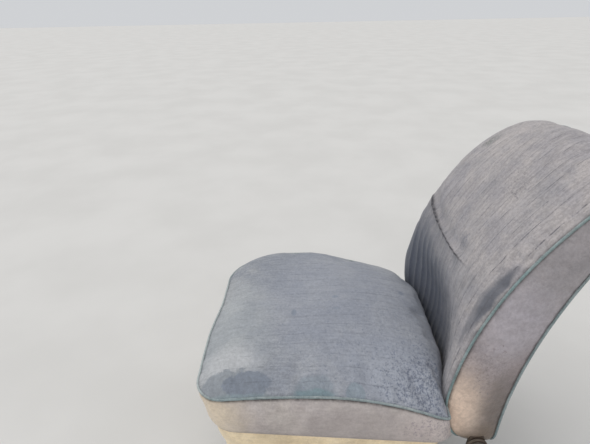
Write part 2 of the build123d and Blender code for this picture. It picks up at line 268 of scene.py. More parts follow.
@dataclass
class Shell:
    """Grids of points that share their rims and merge into one closed mesh."""

    merge_step: float = 0.02
    grids: dict[str, np.ndarray] = field(default_factory=dict)
    kinds: dict[str, tuple[Region, bool]] = field(default_factory=dict)

    def add(self, name: str, points: np.ndarray, region: Region, closed: bool = False) -> None:
        """Take in one grid, whose last column joins its first where it is closed."""
        self.grids[name] = points
        self.kinds[name] = region, closed

    def merge(self) -> None:
        """Number the points, so that grids that meet share theirs."""
        flat = np.concatenate([g.reshape(-1, 3) for g in self.grids.values()])
        keys = np.round(flat / self.merge_step).astype(np.int64)
        _, first, inverse = np.unique(keys, axis=0, return_index=True, return_inverse=True)
        self.points = flat[first]
        self.index, quads, parts, start = {}, [], [], 0
        for name, grid in self.grids.items():
            region, closed = self.kinds[name]
            count = grid.shape[0] * grid.shape[1]
            index = self.index[name] = inverse.ravel()[start:start + count].reshape(grid.shape[:2])
            start += count
            quads.append(grid_quads(np.concatenate([index, index[:, :1]], 1) if closed else index))
            parts.append(np.full(len(quads[-1]), region.value))
        self.quads, self.parts = np.concatenate(quads), np.concatenate(parts)

    def scatter(self, values: dict[str, np.ndarray]) -> np.ndarray:
        """Values per grid as values per merged point, where the first grid named wins.

        Args:
            values: For each grid name, an array with one entry for each of its points.

        Returns:
            An array with one entry for each merged point.
        """
        shape = next(iter(values.values())).shape[2:]
        out = np.zeros((len(self.points), *shape))
        for name in reversed(list(values)):
            out[self.index[name].ravel()] = values[name].reshape(-1, *shape)
        return out

    def normals(self) -> np.ndarray:
        """Unit normals at the merged points, pointing out of the closed shell.

        Returns:
            One normal for each merged point.
        """
        a, b, c, d = (self.points[self.quads[:, i]] for i in range(4))
        facing = np.cross(c - a, d - b)
        volume = np.einsum("ij,ij->", facing, (a + b + c + d) / 4)
        out = np.zeros_like(self.points)
        for i in range(4):
            np.add.at(out, self.quads[:, i], facing)
        return unit(out) * (1 if volume > 0 else -1)


def make_object(name: str, points: np.ndarray, faces: Sequence[Sequence[int]],
                parts: Sequence[int] = ()) -> bpy.types.Object:
    """A smooth-shaded mesh object with its faces turned outwards, linked to the scene.

    Args:
        name: The object's name.
        points: Points in millimetres.
        faces: Point numbers of each face. Repeated numbers in a face are dropped.
        parts: Material index of each face, or nothing.

    Returns:
        The new object.
    """
    kept, kept_parts = [], []
    for i, face in enumerate(faces):
        corners = [int(f) for j, f in enumerate(face) if f != face[j - 1]]
        if len(set(corners)) >= 3 and len(set(corners)) == len(corners):
            kept.append(corners)
            kept_parts.append(parts[i] if len(parts) else 0)
    mesh = bpy.data.meshes.new(name)
    mesh.from_pydata((np.asarray(points) * MM).tolist(), [], kept)
    mesh.polygons.foreach_set("material_index", kept_parts)
    mesh.polygons.foreach_set("use_smooth", [True] * len(kept))
    mesh.validate()
    work = bmesh.new()
    work.from_mesh(mesh)
    bmesh.ops.recalc_face_normals(work, faces=work.faces)
    work.to_mesh(mesh)
    work.free()
    mesh.update()
    made = bpy.data.objects.new(name, mesh)
    bpy.context.scene.collection.objects.link(made)
    return made


def store(piece: bpy.types.Object, name: str, values: np.ndarray) -> None:
    """Keep one number for each point of a mesh, for its shader to read."""
    kept = piece.data.attributes.new(name, "FLOAT", "POINT")
    kept.data.foreach_set("value", np.asarray(values, np.float32))


def dress(piece: bpy.types.Object, finishes: Sequence["Finish"], body: str,
          node: str = "") -> bpy.types.Object:
    """Give a piece its materials and its place in the frame.

    Args:
        piece: The piece.
        finishes: Finish of each region of its mesh.
        body: The body it rides on.
        node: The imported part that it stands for, or nothing.

    Returns:
        The same piece.
    """
    for finish in finishes:
        piece.data.materials.append(material_of(finish))
    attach(piece, body)
    if node:
        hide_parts(node)
    LOG.info("%s: %d faces", piece.name, len(piece.data.polygons))
    return piece


def tube_grid(path: np.ndarray, radius: float, sides: int, closed: bool) -> np.ndarray:
    """Rings of points round a path.

    Args:
        path: The centreline's points.
        radius: The tube's radius.
        sides: Points in each ring.
        closed: Whether the path returns to its start.

    Returns:
        Path points by sides by three coordinates.
    """
    ahead = np.roll(path, -1, 0) - np.roll(path, 1, 0) if closed else np.gradient(path, axis=0)
    along = unit(ahead)
    side = np.zeros_like(path)
    guide = np.array([0.0, 0.0, 1.0]) if abs(along[0, 2]) < 0.9 else np.array([1.0, 0.0, 0.0])
    for i, direction in enumerate(along):
        guide = guide - direction * (guide @ direction)
        guide = guide / np.linalg.norm(guide)
        side[i] = guide
    if closed:
        lean = np.cross(side[-1], side[0]) @ along[0]
        turn = -math.atan2(lean, side[-1] @ side[0]) * np.linspace(0, 1, len(path))
        side = side * np.cos(turn)[:, None] - np.cross(along, side) * np.sin(turn)[:, None]
    angle = np.arange(sides) * 2 * math.pi / sides
    ring = (side[:, None] * np.cos(angle)[None, :, None]
            + np.cross(along, side)[:, None] * np.sin(angle)[None, :, None])
    return path[:, None] + ring * radius


def tubes_object(name: str, paths: Sequence[np.ndarray], radius: float, sides: int,
                 closed: bool) -> bpy.types.Object:
    """One mesh object of tubes along several paths, with flat ends where they are open.

    Args:
        name: The object's name.
        paths: Centrelines in millimetres.
        radius: The tubes' radius.
        sides: Points round each tube.
        closed: Whether each path returns to its start.

    Returns:
        The new object.
    """
    points, faces, start = [], [], 0
    for path in paths:
        points.append(tube_grid(path, radius, sides, closed).reshape(-1, 3))
        number = start + np.arange(len(points[-1])).reshape(-1, sides)
        rings = np.concatenate([number, number[:1]]) if closed else number
        faces += grid_quads(np.concatenate([rings, rings[:, :1]], 1)).tolist()
        if not closed:
            faces += [number[0, ::-1].tolist(), number[-1].tolist()]
        start += number.size
    return make_object(name, np.concatenate(points), faces)


def inflate(name: str, points: np.ndarray, quads: np.ndarray, held: np.ndarray, cap: np.ndarray,
            pressure: float = 4.0, frames: int = 20) -> np.ndarray:
    """Blow up a closed cover as cloth, with its seams held.

    Args:
        name: Name of the cloth while it is simulated.
        points: The cover's points in millimetres.
        quads: Its faces.
        held: True for each point that a seam holds.
        cap: How far each point may move.
        pressure: Pressure inside, in the cloth's own units.
        frames: How many frames the simulation runs.

    Returns:
        How far each point has moved, in millimetres.
    """
    cover = make_object(name, points, quads)
    rest = np.array([v.co for v in cover.data.vertices])
    pins = cover.vertex_groups.new(name="pins")
    pins.add([int(i) for i in np.flatnonzero(held)], 1.0, "REPLACE")
    cloth = cover.modifiers.new("cloth", "CLOTH")
    for key, value in {"vertex_group_mass": pins.name, "quality": 6, "mass": 0.25, "use_pressure": True,
                       "uniform_pressure_force": pressure, "shrink_min": -0.015}.items():
        setattr(cloth.settings, key, value)
    cloth.settings.effector_weights.gravity = 0
    cloth.collision_settings.use_collision = False
    cloth.point_cache.frame_end = frames
    scene = bpy.context.scene
    for number in range(1, frames + 1):
        scene.frame_set(number)
    shown = cover.evaluated_get(bpy.context.evaluated_depsgraph_get())
    move = (np.array([v.co for v in shown.data.vertices]) - rest) / MM
    scene.frame_set(1)
    mesh = cover.data
    bpy.data.objects.remove(cover)
    bpy.data.meshes.remove(mesh)
    size = np.linalg.norm(move, axis=1, keepdims=True)
    return move * (cap[:, None] / np.sqrt(cap[:, None] ** 2 + size**2 + 1e-9))


# Shader graphs


def srgb(tint: Tint, times: float = 1.0, plus: int = 0) -> tuple[float, float, float, float]:
    """A screen colour, made lighter or darker, as the linear colour that a shader takes."""
    parts = [min(255, int(c * times) + plus) / 255 for c in tint]
    return (*[c / 12.92 if c <= 0.04045 else ((c + 0.055) / 1.055) ** 2.4 for c in parts], 1.0)


class Graph:
    """Short hand for wiring one node tree. Lengths in it are millimetres."""

    def __init__(self, tree: bpy.types.NodeTree) -> None:
        """Keep the tree that the nodes go into."""
        self.tree = tree

    def add(self, kind: str, given: dict[str | int, Value] | None = None,
            **settings: object) -> bpy.types.Node:
        """A new node.

        Args:
            kind: Its type name, without ShaderNode.
            given: A socket to link or a value to set, by input.
            **settings: Properties to set on it first.

        Returns:
            The node.
        """
        node = self.tree.nodes.new(f"ShaderNode{kind}")
        for key, setting in settings.items():
            setattr(node, key, setting)
        for key, value in (given or {}).items():
            self.feed(node.inputs[key], value)
        return node

    def feed(self, socket: bpy.types.NodeSocket, value: Value) -> None:
        """Link a socket to one input, or set it to a value.

        Args:
            socket: The input.
            value: The socket or the value.
        """
        if isinstance(value, bpy.types.NodeSocket):
            self.tree.links.new(value, socket)
        else:
            socket.default_value = value

    def math(self, operation: str, *values: Value, clamp: bool = False) -> bpy.types.NodeSocket:
        """The result of a Math node, held from 0 to 1 where it is clamped."""
        return self.add("Math", dict(enumerate(values)), operation=operation, use_clamp=clamp).outputs[0]

    def vector(self, operation: str, *values: Value) -> bpy.types.NodeSocket:
        """The result of a Vector Math node."""
        node = self.add("VectorMath", dict(enumerate(values)), operation=operation)
        return node.outputs["Value" if operation == "LENGTH" else "Vector"]

    def noise(self, position: Value, size: float, detail: float = 2.0, roughness: float = 0.5,
              warp: float = 0.0) -> bpy.types.NodeSocket:
        """Cloudy noise with patches of some size, mostly from 0.3 to 0.7."""
        return self.add("TexNoise", {"Vector": position, "Scale": 1 / size, "Detail": detail,
                                     "Roughness": roughness, "Distortion": warp}).outputs[0]

    def spread(self, value: Value, low: float, high: float, start: float = 0.0,
               end: float = 1.0) -> bpy.types.NodeSocket:
        """A value mapped smoothly from the range low to high to the range start to end."""
        return self.add("MapRange", {"Value": value, "From Min": low, "From Max": high, "To Min": start,
                                     "To Max": end}, interpolation_type="SMOOTHSTEP").outputs[0]

    def mix(self, share: Value, first: Value, second: Value, blend: str = "MIX") -> bpy.types.NodeSocket:
        """Two colours mixed, with some share of the second."""
        return self.add("Mix", {0: share, 6: first, 7: second}, data_type="RGBA", blend_type=blend,
                        clamp_factor=True).outputs[2]

    def use(self, group: bpy.types.NodeTree, **given: Value) -> bpy.types.NodeSocket:
        """The result of a shared effect, whose inputs are given by name in lower case."""
        named = {key.title(): value for key, value in given.items()}
        return self.add("Group", named, node_tree=group).outputs[0]


def shared(name: str, output: str = "Mask", **inputs: str) -> Callable[[Wiring], Callable]:
    """Make some wiring into a node group that is built once.

    Args:
        name: The group's name.
        output: Name of its one output, a number.
        **inputs: Socket type of each input, by name in lower case.

    Returns:
        A decorator for a function that takes a graph and the inputs, and gives the result.
    """

    def decorate(wiring: Wiring) -> Callable[[], bpy.types.NodeTree]:
        """Put a cache in front of one group.

        Args:
            wiring: Wires the group.

        Returns:
            A function that gives the group.
        """

        @cache
        def group() -> bpy.types.NodeTree:
            """Make the node group when it is first asked for.

            Returns:
                The group.
            """
            tree = bpy.data.node_groups.new(name, "ShaderNodeTree")
            for key, kind in inputs.items():
                tree.interface.new_socket(key.title(), in_out="INPUT", socket_type=f"NodeSocket{kind}")
            tree.interface.new_socket(output, in_out="OUTPUT", socket_type="NodeSocketFloat")
            given, result = (tree.nodes.new(f"NodeGroup{end}") for end in ("Input", "Output"))
            g = Graph(tree)
            g.feed(result.inputs[0], wiring(g, *[given.outputs[key.title()] for key in inputs]))
            return tree

        return group

    return decorate


class Effects:
    """Shader node groups that several materials share. Each takes a position in millimetres."""

    @staticmethod
    @shared("settled_dust", position="Vector", up="Float", amount="Float")
    def dust(g: Graph, position: Value, up: Value, amount: Value) -> Value:
        """Settled dust: more on what faces up, in clouds with a fine ragged edge.

        Args:
            g: The group's graph.
            position: Where it is read.
            up: How far the surface faces up.
            amount: How much dust there is.

        Returns:
            The mask.
        """
        lie = g.math("MULTIPLY_ADD", up, 0.34, amount)
        for size, detail, roughness, warp, share in (
                (95, 3, 0.55, 0.0, 0.75), (19, 4, 0.65, 0.4, 0.55), (2.6, 3, 0.7, 0.0, 0.30)):
            cloud = g.noise(position, size, detail, roughness, warp)
            lie = g.math("MULTIPLY_ADD", cloud, share, lie)
        return g.spread(lie, 0.75, 1.55)

    @staticmethod
    @shared("cover_grain", "Height", position="Vector")
    def grain(g: Graph, position: Value) -> Value:
        """Embossed leathercloth grain: small rounded cells with creases between them.

        Args:
            g: The group's graph.
            position: Where it is read.

        Returns:
            The height.
        """
        cells = g.add("TexVoronoi", {"Vector": position, "Scale": 1 / 1.5}, feature="SMOOTH_F1")
        pores = g.noise(position, 0.6, 2, 0.6)
        return g.math("MULTIPLY_ADD", pores, 0.5, cells.outputs["Distance"])

    @staticmethod
    @shared("flecks", position="Vector", coverage="Float")
    def speckle(g: Graph, position: Value, coverage: Value) -> Value:
        """Scattered ragged flecks of uneven size.

        Args:
            g: The group's graph.
            position: Where it is read.
            coverage: How much of the surface the flecks cover.

        Returns:
            The mask.
        """
        coarse, fine = g.noise(position, 6.0, 5, 0.78), g.noise(position, 2.2, 3, 0.7)
        both = g.math("MULTIPLY_ADD", fine, 0.4, g.math("MULTIPLY", coarse, 0.8))
        cut = g.math("SUBTRACT", 0.82, g.math("MULTIPLY", coverage, 0.30))
        return g.spread(g.math("SUBTRACT", both, cut), -0.05, 0.08)

    @staticmethod
    @shared("pleat_seams", position="Vector", across="Float")
    def pleat_seams(g: Graph, position: Value, across: Value) -> Value:
        """Thin broken lines of dirt in the seams between pleats.

        Args:
            g: The group's graph.
            position: Where it is read.
            across: Place across the cover before it was stuffed.

        Returns:
            The mask.
        """
        turn = g.math("FRACT", g.math("DIVIDE", across, PLEAT_PITCH))
        apart = g.math("MULTIPLY", g.math("ABSOLUTE", g.math("SUBTRACT", turn, 0.5)), PLEAT_PITCH)
        ragged = g.noise(position, 3.5, 3, 0.7)
        apart = g.math("MULTIPLY_ADD", ragged, 1.5, g.math("SUBTRACT", apart, 0.75))
        line = g.math("SUBTRACT", 1.0, g.spread(apart, 0.25, 1.35))
        narrow = g.vector("MULTIPLY", position, (1.6, 1.0, 1.0))
        broken = g.spread(g.noise(narrow, 15, 4, 0.65), 0.40, 0.58, 0.12, 1.0)
        faded = g.spread(g.noise(position, 70, 2, 0.5), 0.36, 0.6, 0.35, 1.0)
        return g.math("MULTIPLY", g.math("MULTIPLY", line, broken), faded)

    @staticmethod
    @shared("placed_patch", position="Vector", centre="Vector", reach="Vector", ragged="Float",
            edge="Float")
    def stain(g: Graph, position: Value, centre: Value, reach: Value, ragged: Value,
              edge: Value) -> Value:
        """One patch with a ragged edge.

        Args:
            g: The group's graph.
            position: Where it is read.
            centre: The patch's centre.
            reach: How far it reaches along each axis.
            ragged: How far its outline wanders.
            edge: How soft its edge is.

        Returns:
            The mask.
        """
        away = g.vector("LENGTH", g.vector("DIVIDE", g.vector("SUBTRACT", position, centre), reach))
        rough = g.math("SUBTRACT", g.noise(position, 24, 4, 0.6), 0.5)
        away = g.math("MULTIPLY_ADD", rough, ragged, away)
        inner, outer = g.math("SUBTRACT", 1.0, edge), g.math("ADD", 1.0, edge)
        return g.math("SUBTRACT", 1.0, g.spread(away, inner, outer))

    @staticmethod
    @shared("paint_chips", position="Vector", amount="Float")
    def chips(g: Graph, position: Value, amount: Value) -> Value:
        """Chipped and rubbed places in paint.

        Args:
            g: The group's graph.
            position: Where it is read.
            amount: How chipped the paint is.

        Returns:
            The mask.
        """
        where, shape = g.noise(position, 42, 3, 0.6), g.noise(position, 6.5, 5, 0.68, 0.6)
        chipped = g.math("MULTIPLY_ADD", where, 0.8, shape)
        return g.spread(g.math("ADD", chipped, amount), 1.16, 1.22)


# Finishes


class Surface(Graph):
    """A material on a Principled shader, with its coordinates."""

    def __init__(self, name: str) -> None:
        """Start the material.

        Args:
            name: Its name.
        """
        self.material = bpy.data.materials.new(name)
        self.material.use_nodes = True
        super().__init__(self.material.node_tree)
        self.tree.nodes.clear()
        self.shader = self.add("BsdfPrincipled")
        self.add("OutputMaterial", {"Surface": self.shader.outputs["BSDF"]})
        source = self.add("TexCoord").outputs
        self.place = self.add("VectorMath", {"Scale": 1 / MM, 0: source["Object"]},
                              operation="SCALE").outputs[0]
        self.up = self.add("SeparateXYZ", {0: source["Normal"]}).outputs["Z"]

    def clouds(self, size: float, detail: float, roughness: float, low: float, high: float,
               warp: float = 0.0) -> bpy.types.NodeSocket:
        """Cloudy patches, from 0 where their noise is low to 1 where it is high."""
        return self.spread(self.noise(self.place, size, detail, roughness, warp), low, high)

    def read(self, name: str) -> bpy.types.NodeSocket:
        """The number that a mesh keeps at each point under some name, or 0 where it has none."""
        return self.add("Attribute", attribute_name=name).outputs["Fac"]

    def dust(self, amount: float) -> bpy.types.NodeSocket:
        """How much dust has settled."""
        return self.use(Effects.dust(), position=self.place, up=self.up, amount=amount)

    def chips(self, amount: float) -> bpy.types.NodeSocket:
        """Where paint is chipped."""
        return self.use(Effects.chips(), position=self.place, amount=amount)

    def dusted(self, colour: Value, dust: Value, share: float, tint: Tint) -> bpy.types.NodeSocket:
        """A colour with some share of the dust laid on it."""
        return self.mix(self.math("MULTIPLY", dust, share), colour, srgb(tint))

    def finished(self, bumps: Sequence[tuple[Value, float]], **inputs: Value) -> bpy.types.Material:
        """Feed the shader and close the material.

        Args:
            bumps: Heights from 0 to 1, each with its depth in millimetres, laid on each other.
            **inputs: The shader's inputs, with _ for each space in a name.

        Returns:
            The material.
        """
        below: dict[str | int, Value] = {}
        for height, depth in bumps:
            bump = self.add("Bump", {"Distance": depth * MM, "Strength": 1.0, "Height": height, **below})
            below = {"Normal": bump.outputs["Normal"]}
        for key, value in (inputs | below).items():
            self.feed(self.shader.inputs[key.replace("_", " ")], value)
        return self.material


@cache
def material_of(finish: "Finish") -> bpy.types.Material:
    """The material of a finish, built when it is first asked for."""
    return finish.material()


@dataclass(frozen=True)
class Patch:
    """A place where a cover is stained, rubbed clean, speckled, or given painted shade or painted light.
    Millimetres.
    """

    centre: Point
    reach: Point
    colour: Tint
    strength: float = 0.8
    ragged: float = 0.9
    edge: float = 0.14
    flecks: bool = False

    def lay(self, s: Surface, colour: Value) -> tuple[Value, Value]:
        """Lay the patch on a cover.

        Args:
            s: The cover's surface.
            colour: Its colour so far.

        Returns:
            The new colour, and the patch's mask.
        """
        mask = s.use(Effects.stain(), position=s.place, centre=self.centre, reach=self.reach,
                     ragged=self.ragged, edge=self.edge)
        mask = s.math("MULTIPLY", mask, self.strength)
        if self.flecks:
            mask = s.use(Effects.speckle(), position=s.place, coverage=mask)
        grade = s.mix(s.clouds(7, 4, 0.7, 0.3, 0.7), srgb(self.colour), srgb(self.colour, 1.14))
        return s.mix(mask, colour, grade), mask


@dataclass(frozen=True)
class LeatherCloth:
    """Coated upholstery cloth under dust, with rubbed and stained places, and painted shade and light in
    some patches, seams and creases.
    """

    name: str
    clean: Tint
    dust: Tint
    pale: Tint
    dusting: float
    groove: Tint = (74, 78, 86)
    patches: tuple[Patch, ...] = ()
    streak: Point = (1.0, 0.16, 0.16)
    mottle: float = 0.2
    gloss: float = 0.5

    def _dusty(self, s: Surface, dust: Value) -> Value:
        """Colour of the cloth and the dust on it, before any stains.

        Args:
            s: The material's surface.
            dust: How much dust lies there.

        Returns:
            The colour.
        """
        clean = s.mix(s.clouds(48, 4, 0.6, 0.35, 0.68), srgb(self.clean), srgb(self.clean, 1.14))
        laid = s.mix(s.clouds(85, 5, 0.62, 0.36, 0.64, 0.4), srgb(self.dust), srgb(self.pale))
        drawn = s.vector("MULTIPLY", s.place, self.streak)
        streaks = s.spread(s.noise(drawn, 5.5, 4, 0.7), 0.32, 0.68)
        blots = s.clouds(4.2, 4, 0.75, 0.32, 0.68)
        shade = s.math("MULTIPLY_ADD", blots, 0.55, s.math("MULTIPLY", streaks, 0.45))
        shade = s.spread(shade, 0.1, 0.9, 1 - self.mottle, 1 + 0.5 * self.mottle)
        return s.mix(1.0, s.mix(dust, clean, laid), shade, "MULTIPLY")

    def material(self) -> bpy.types.Material:
        """Build the material.

        Returns:
            The material.
        """
        s = Surface(self.name)
        dust = s.dust(self.dusting)
        colour, rubbed = self._dusty(s, dust), 0.0
        for patch in self.patches:
            colour, mask = patch.lay(s, colour)
            rubbed = s.math("MAXIMUM", rubbed, mask)
        seams = s.use(Effects.pleat_seams(), position=s.place, across=s.read("across"))
        colour = s.mix(s.math("MULTIPLY", seams, s.read("pleat")), colour, srgb(self.groove))
        # painted shade: the groove attribute darkens the band beside its seams, the face beside its piping
        # and the backrest's fold crease (there with dirt), broken up by noise
        dirty = s.spread(s.noise(s.place, 11, 3, 0.6), 0.3, 0.6, 0.55, 1.0)
        colour = s.mix(s.math("MULTIPLY", s.read("groove"), dirty), colour, srgb(self.groove, 0.62))
        bumps = ((s.noise(s.place, 30, 5, 0.6, 0.5), 2.4), (s.math("SUBTRACT", 1.0, seams), 0.5),
                 (s.use(Effects.grain(), position=s.place), 0.22), (dust, 0.12))
        dull = s.spread(s.math("SUBTRACT", dust, rubbed), 0.0, 1.0, self.gloss, 0.92)
        return s.finished(bumps, Base_Color=colour, Roughness=dull, Specular_IOR_Level=0.35,
                          Sheen_Weight=0.12, Sheen_Roughness=0.6)


@dataclass(frozen=True)
class PaintedSteel:
    """Painted steel with chips, rust in them and dust on top."""

    name: str
    paint: Tint
    chipped: float = 0.0
    dusting: float = 0.05
    gloss: float = 0.45
    rust: Tint = (84, 52, 34)
    pale_rust: Tint = (124, 78, 48)
    rust_halo: Tint = (110, 84, 62)
    dust: Tint = (152, 143, 131)

    def material(self) -> bpy.types.Material:
        """Build the material.

        Returns:
            The material.
        """
        s = Surface(self.name)
        paint = s.mix(s.clouds(70, 4, 0.55, 0.35, 0.68), srgb(self.paint), srgb(self.paint, 1.22, 6))
        chips, halo = s.chips(self.chipped), s.chips(self.chipped + 0.05)
        rust = s.mix(s.clouds(5, 4, 0.7, 0.35, 0.65), srgb(self.rust), srgb(self.pale_rust))
        halo = s.math("MULTIPLY", s.math("SUBTRACT", halo, chips, clamp=True), 0.45)
        colour = s.mix(halo, s.mix(chips, paint, rust), srgb(self.rust_halo))
        dust = s.dust(self.dusting)
        rough = s.math("MAXIMUM", s.spread(chips, 0, 1, self.gloss, 0.85), s.spread(dust, 0, 1, 0.3, 0.88))
        peel, pits = s.noise(s.place, 2.4, 2, 0.5), s.noise(s.place, 1.6, 3, 0.7)
        bumps = ((peel, 0.10), (s.math("MULTIPLY", chips, pits), 0.35),
                 (s.math("SUBTRACT", 1.0, chips), 0.18))
        return s.finished(bumps, Base_Color=s.dusted(colour, dust, 0.75, self.dust), Roughness=rough)


@dataclass(frozen=True)
class BareSteel:
    """Unpainted steel, brushed along one axis, with grease, dirt and a little rust."""

    name: str
    tint: Tint
    brushed: Point = (1.0, 0.05, 1.0)
    greasy: float = 0.4
    rusty: float = 0.0
    dusting: float = -0.1
    grease: Tint = (58, 51, 44)
    rust: Tint = (112, 70, 44)
    dust: Tint = (148, 138, 126)

    def material(self) -> bpy.types.Material:
        """Build the material.

        Returns:
            The material.
        """
        s = Surface(self.name)
        brush = s.noise(s.vector("MULTIPLY", s.place, self.brushed), 1.3, 3, 0.6)
        base = s.mix(s.spread(brush, 0.3, 0.7), srgb(self.tint), srgb(self.tint, 1.25))
        grime = s.clouds(28, 5, 0.65, 0.62 - 0.3 * self.greasy, 0.75, 0.6)
        rust, dust = s.chips(self.rusty), s.dust(self.dusting)
        colour = s.mix(rust, s.mix(grime, base, srgb(self.grease)), srgb(self.rust))
        dirty = s.math("MAXIMUM", s.math("MAXIMUM", grime, rust), dust)
        return s.finished(
            ((brush, 0.05), (s.noise(s.place, 3, 4, 0.7), 0.12)),
            Base_Color=s.dusted(colour, dust, 0.6, self.dust),
            Metallic=s.spread(dirty, 0.1, 0.8, 1.0, 0.0), Roughness=s.spread(dirty, 0.0, 1.0, 0.36, 0.82))


@dataclass(frozen=True)
class MouldedGrip:
    """Black moulded rubber, greyed by wear and dust."""

    name: str
    tint: Tint = (30, 30, 31)
    worn: Tint = (58, 57, 56)
    dusting: float = -0.02
    dust: Tint = (140, 132, 122)

    def material(self) -> bpy.types.Material:
        """Build the material.

        Returns:
            The material.
        """
        s = Surface(self.name)
        worn, dust = s.clouds(14, 4, 0.6, 0.42, 0.7), s.dust(self.dusting)
        colour = s.dusted(s.mix(worn, srgb(self.tint), srgb(self.worn)), dust, 0.7, self.dust)
        return s.finished(((s.noise(s.place, 0.8, 2, 0.5), 0.12), (worn, 0.1)), Base_Color=colour,
                          Roughness=s.spread(dust, 0, 1, 0.55, 0.9))


@dataclass(frozen=True)
class PaleFloor:
    """Matt floor with faint clouds."""

    name: str
    tint: tuple[float, float, float, float] = (0.62, 0.61, 0.59, 1)
    pale: tuple[float, float, float, float] = (0.66, 0.65, 0.63, 1)
    roughness: float = 0.85

    def material(self) -> bpy.types.Material:
        """Build the material.

        Returns:
            The material.
        """
        s = Surface(self.name)
        colour = s.mix(s.clouds(420, 3, 0.5, 0.3, 0.7), self.tint, self.pale)
        return s.finished((), Base_Color=colour, Roughness=self.roughness)


Finish = LeatherCloth | PaintedSteel | BareSteel | MouldedGrip | PaleFloor

CUSHION_COVER = LeatherCloth(
    name="cushion_blue_grey", clean=(98, 106, 117), dust=(138, 142, 150), pale=(160, 162, 165),
    dusting=0.24, groove=(94, 98, 109), streak=(1.0, 0.14, 0.14), mottle=0.26,
    patches=(
        # painted shade: darker over the middle and rear of the top, away from the light
        Patch((10, 20, 370), (250, 190, 400), (131, 135, 146), 0.6, 0.6, 0.5),
        Patch((90, -232, 376), (135, 74, 60), (155, 159, 160), 0.5, 0.9, 0.75),
        Patch((182, -208, 375), (36, 52, 60), (170, 171, 173), 0.55, 0.8, 0.6),
        Patch((250, -197, 368), (50, 65, 60), (120, 125, 131), 0.9, 0.75, 0.04),
        Patch((229, -174, 370), (24, 42, 60), (104, 111, 122), 0.85, 0.9, 0.06),
        Patch((249, -190, 362), (7, 60, 60), (120, 136, 140), 0.5, 0.7, 0.4),
        Patch((236, -56, 366), (22, 33, 60), (118, 126, 134), 0.75, 0.9, 0.15),
        Patch((247, -58, 362), (11, 38, 60), (102, 121, 127), 0.85, 0.7, 0.25),
        Patch((241, 14, 362), (16, 17, 60), (108, 121, 129), 0.85, 0.8, 0.12),
        # lighter dusty ground at the rear of the near side, partly painted light that lifts the shade there
        Patch((210, 125, 330), (90, 110, 90), (156, 160, 170), 0.5, 0.4, 0.7),
        Patch((205, 140, 330), (105, 110, 90), (88, 94, 110), 0.72, 0.3, 0.7, flecks=True),
        Patch((120, 40, 350), (260, 260, 90), (102, 108, 121), 0.48, 0.3, 0.7, flecks=True),
        Patch((52, -95, 378), (13, 6, 40), (106, 114, 126), 0.8, 0.9, 0.3),
        Patch((4, -8, 378), (6, 9, 40), (110, 118, 130), 0.7, 0.9, 0.3),
        Patch((45, -8, 378), (5, 10, 40), (110, 118, 130), 0.7, 0.9, 0.3),
        Patch((-35, 140, 350), (9, 8, 40), (104, 112, 126), 0.7, 0.9, 0.3),
    ))
BOXING_COVER = LeatherCloth(
    name="boxing_mauve_tan", clean=(152, 143, 141), dust=(184, 177, 177), pale=(200, 193, 187),
    dusting=0.30, groove=(84, 80, 80), streak=(0.2, 0.2, 1.0), mottle=0.14,
    patches=(
        # painted shade: darker over the middle and rear of the boxing
        Patch((250, 40, 290), (60, 130, 60), (152, 144, 143), 0.5, 0.4, 0.6),
        # painted light: lighter near the rear end of the boxing, lifting the shade there
        Patch((250, 150, 280), (60, 60, 60), (190, 178, 174), 0.45, 0.4, 0.6),
        Patch((250, 190, 290), (60, 120, 60), (128, 120, 126), 0.6, 0.4, 0.6, flecks=True),
        Patch((225, -235, 315), (50, 62, 60), (212, 196, 170), 0.7, 0.4, 0.6),
    ))
TAN_COVER = LeatherCloth(
    name="box_tan", clean=(212, 193, 160), dust=(232, 215, 184), pale=(244, 230, 203),
    dusting=0.22, groove=(98, 84, 66), streak=(0.2, 0.2, 1.0), mottle=0.1, gloss=0.46)
BACKREST_COVER = LeatherCloth(
    name="backrest_blue_grey", clean=(118, 119, 126), dust=(156, 152, 155), pale=(174, 168, 167),
    dusting=0.34, groove=(88, 88, 96), streak=(1.0, 0.12, 0.12), mottle=0.22,
    patches=(
        # painted shade in the sat-in hollow, with cleaner slate vinyl there
        Patch((-165, 190, 355), (235, 130, 172), (62, 69, 83), 0.93, 0.3, 0.5),
        # painted shade: dark strip low down, next to the cushion
        Patch((-60, 200, 300), (185, 80, 80), (76, 80, 92), 0.7, 0.4, 0.5),
        Patch((200, 232, 528), (8, 75, 64), (82, 85, 93), 0.9, 0.6, 0.35),
        Patch((193, 222, 506), (8, 70, 64), (94, 96, 103), 0.6, 1.0, 0.4),
        Patch((45, 238, 548), (26, 18, 24), (110, 110, 117), 0.75, 0.4, 0.5, flecks=True),
        Patch((50, 312, 660), (70, 34, 44), (112, 108, 112), 0.6, 0.4, 0.6, flecks=True),
        Patch((-162, 338, 686), (22, 30, 20), (104, 106, 104), 0.85, 0.8, 0.8, flecks=True),
        Patch((170, 276, 595), (12, 14, 8), (112, 112, 118), 0.7, 0.8, 0.3),
    ))
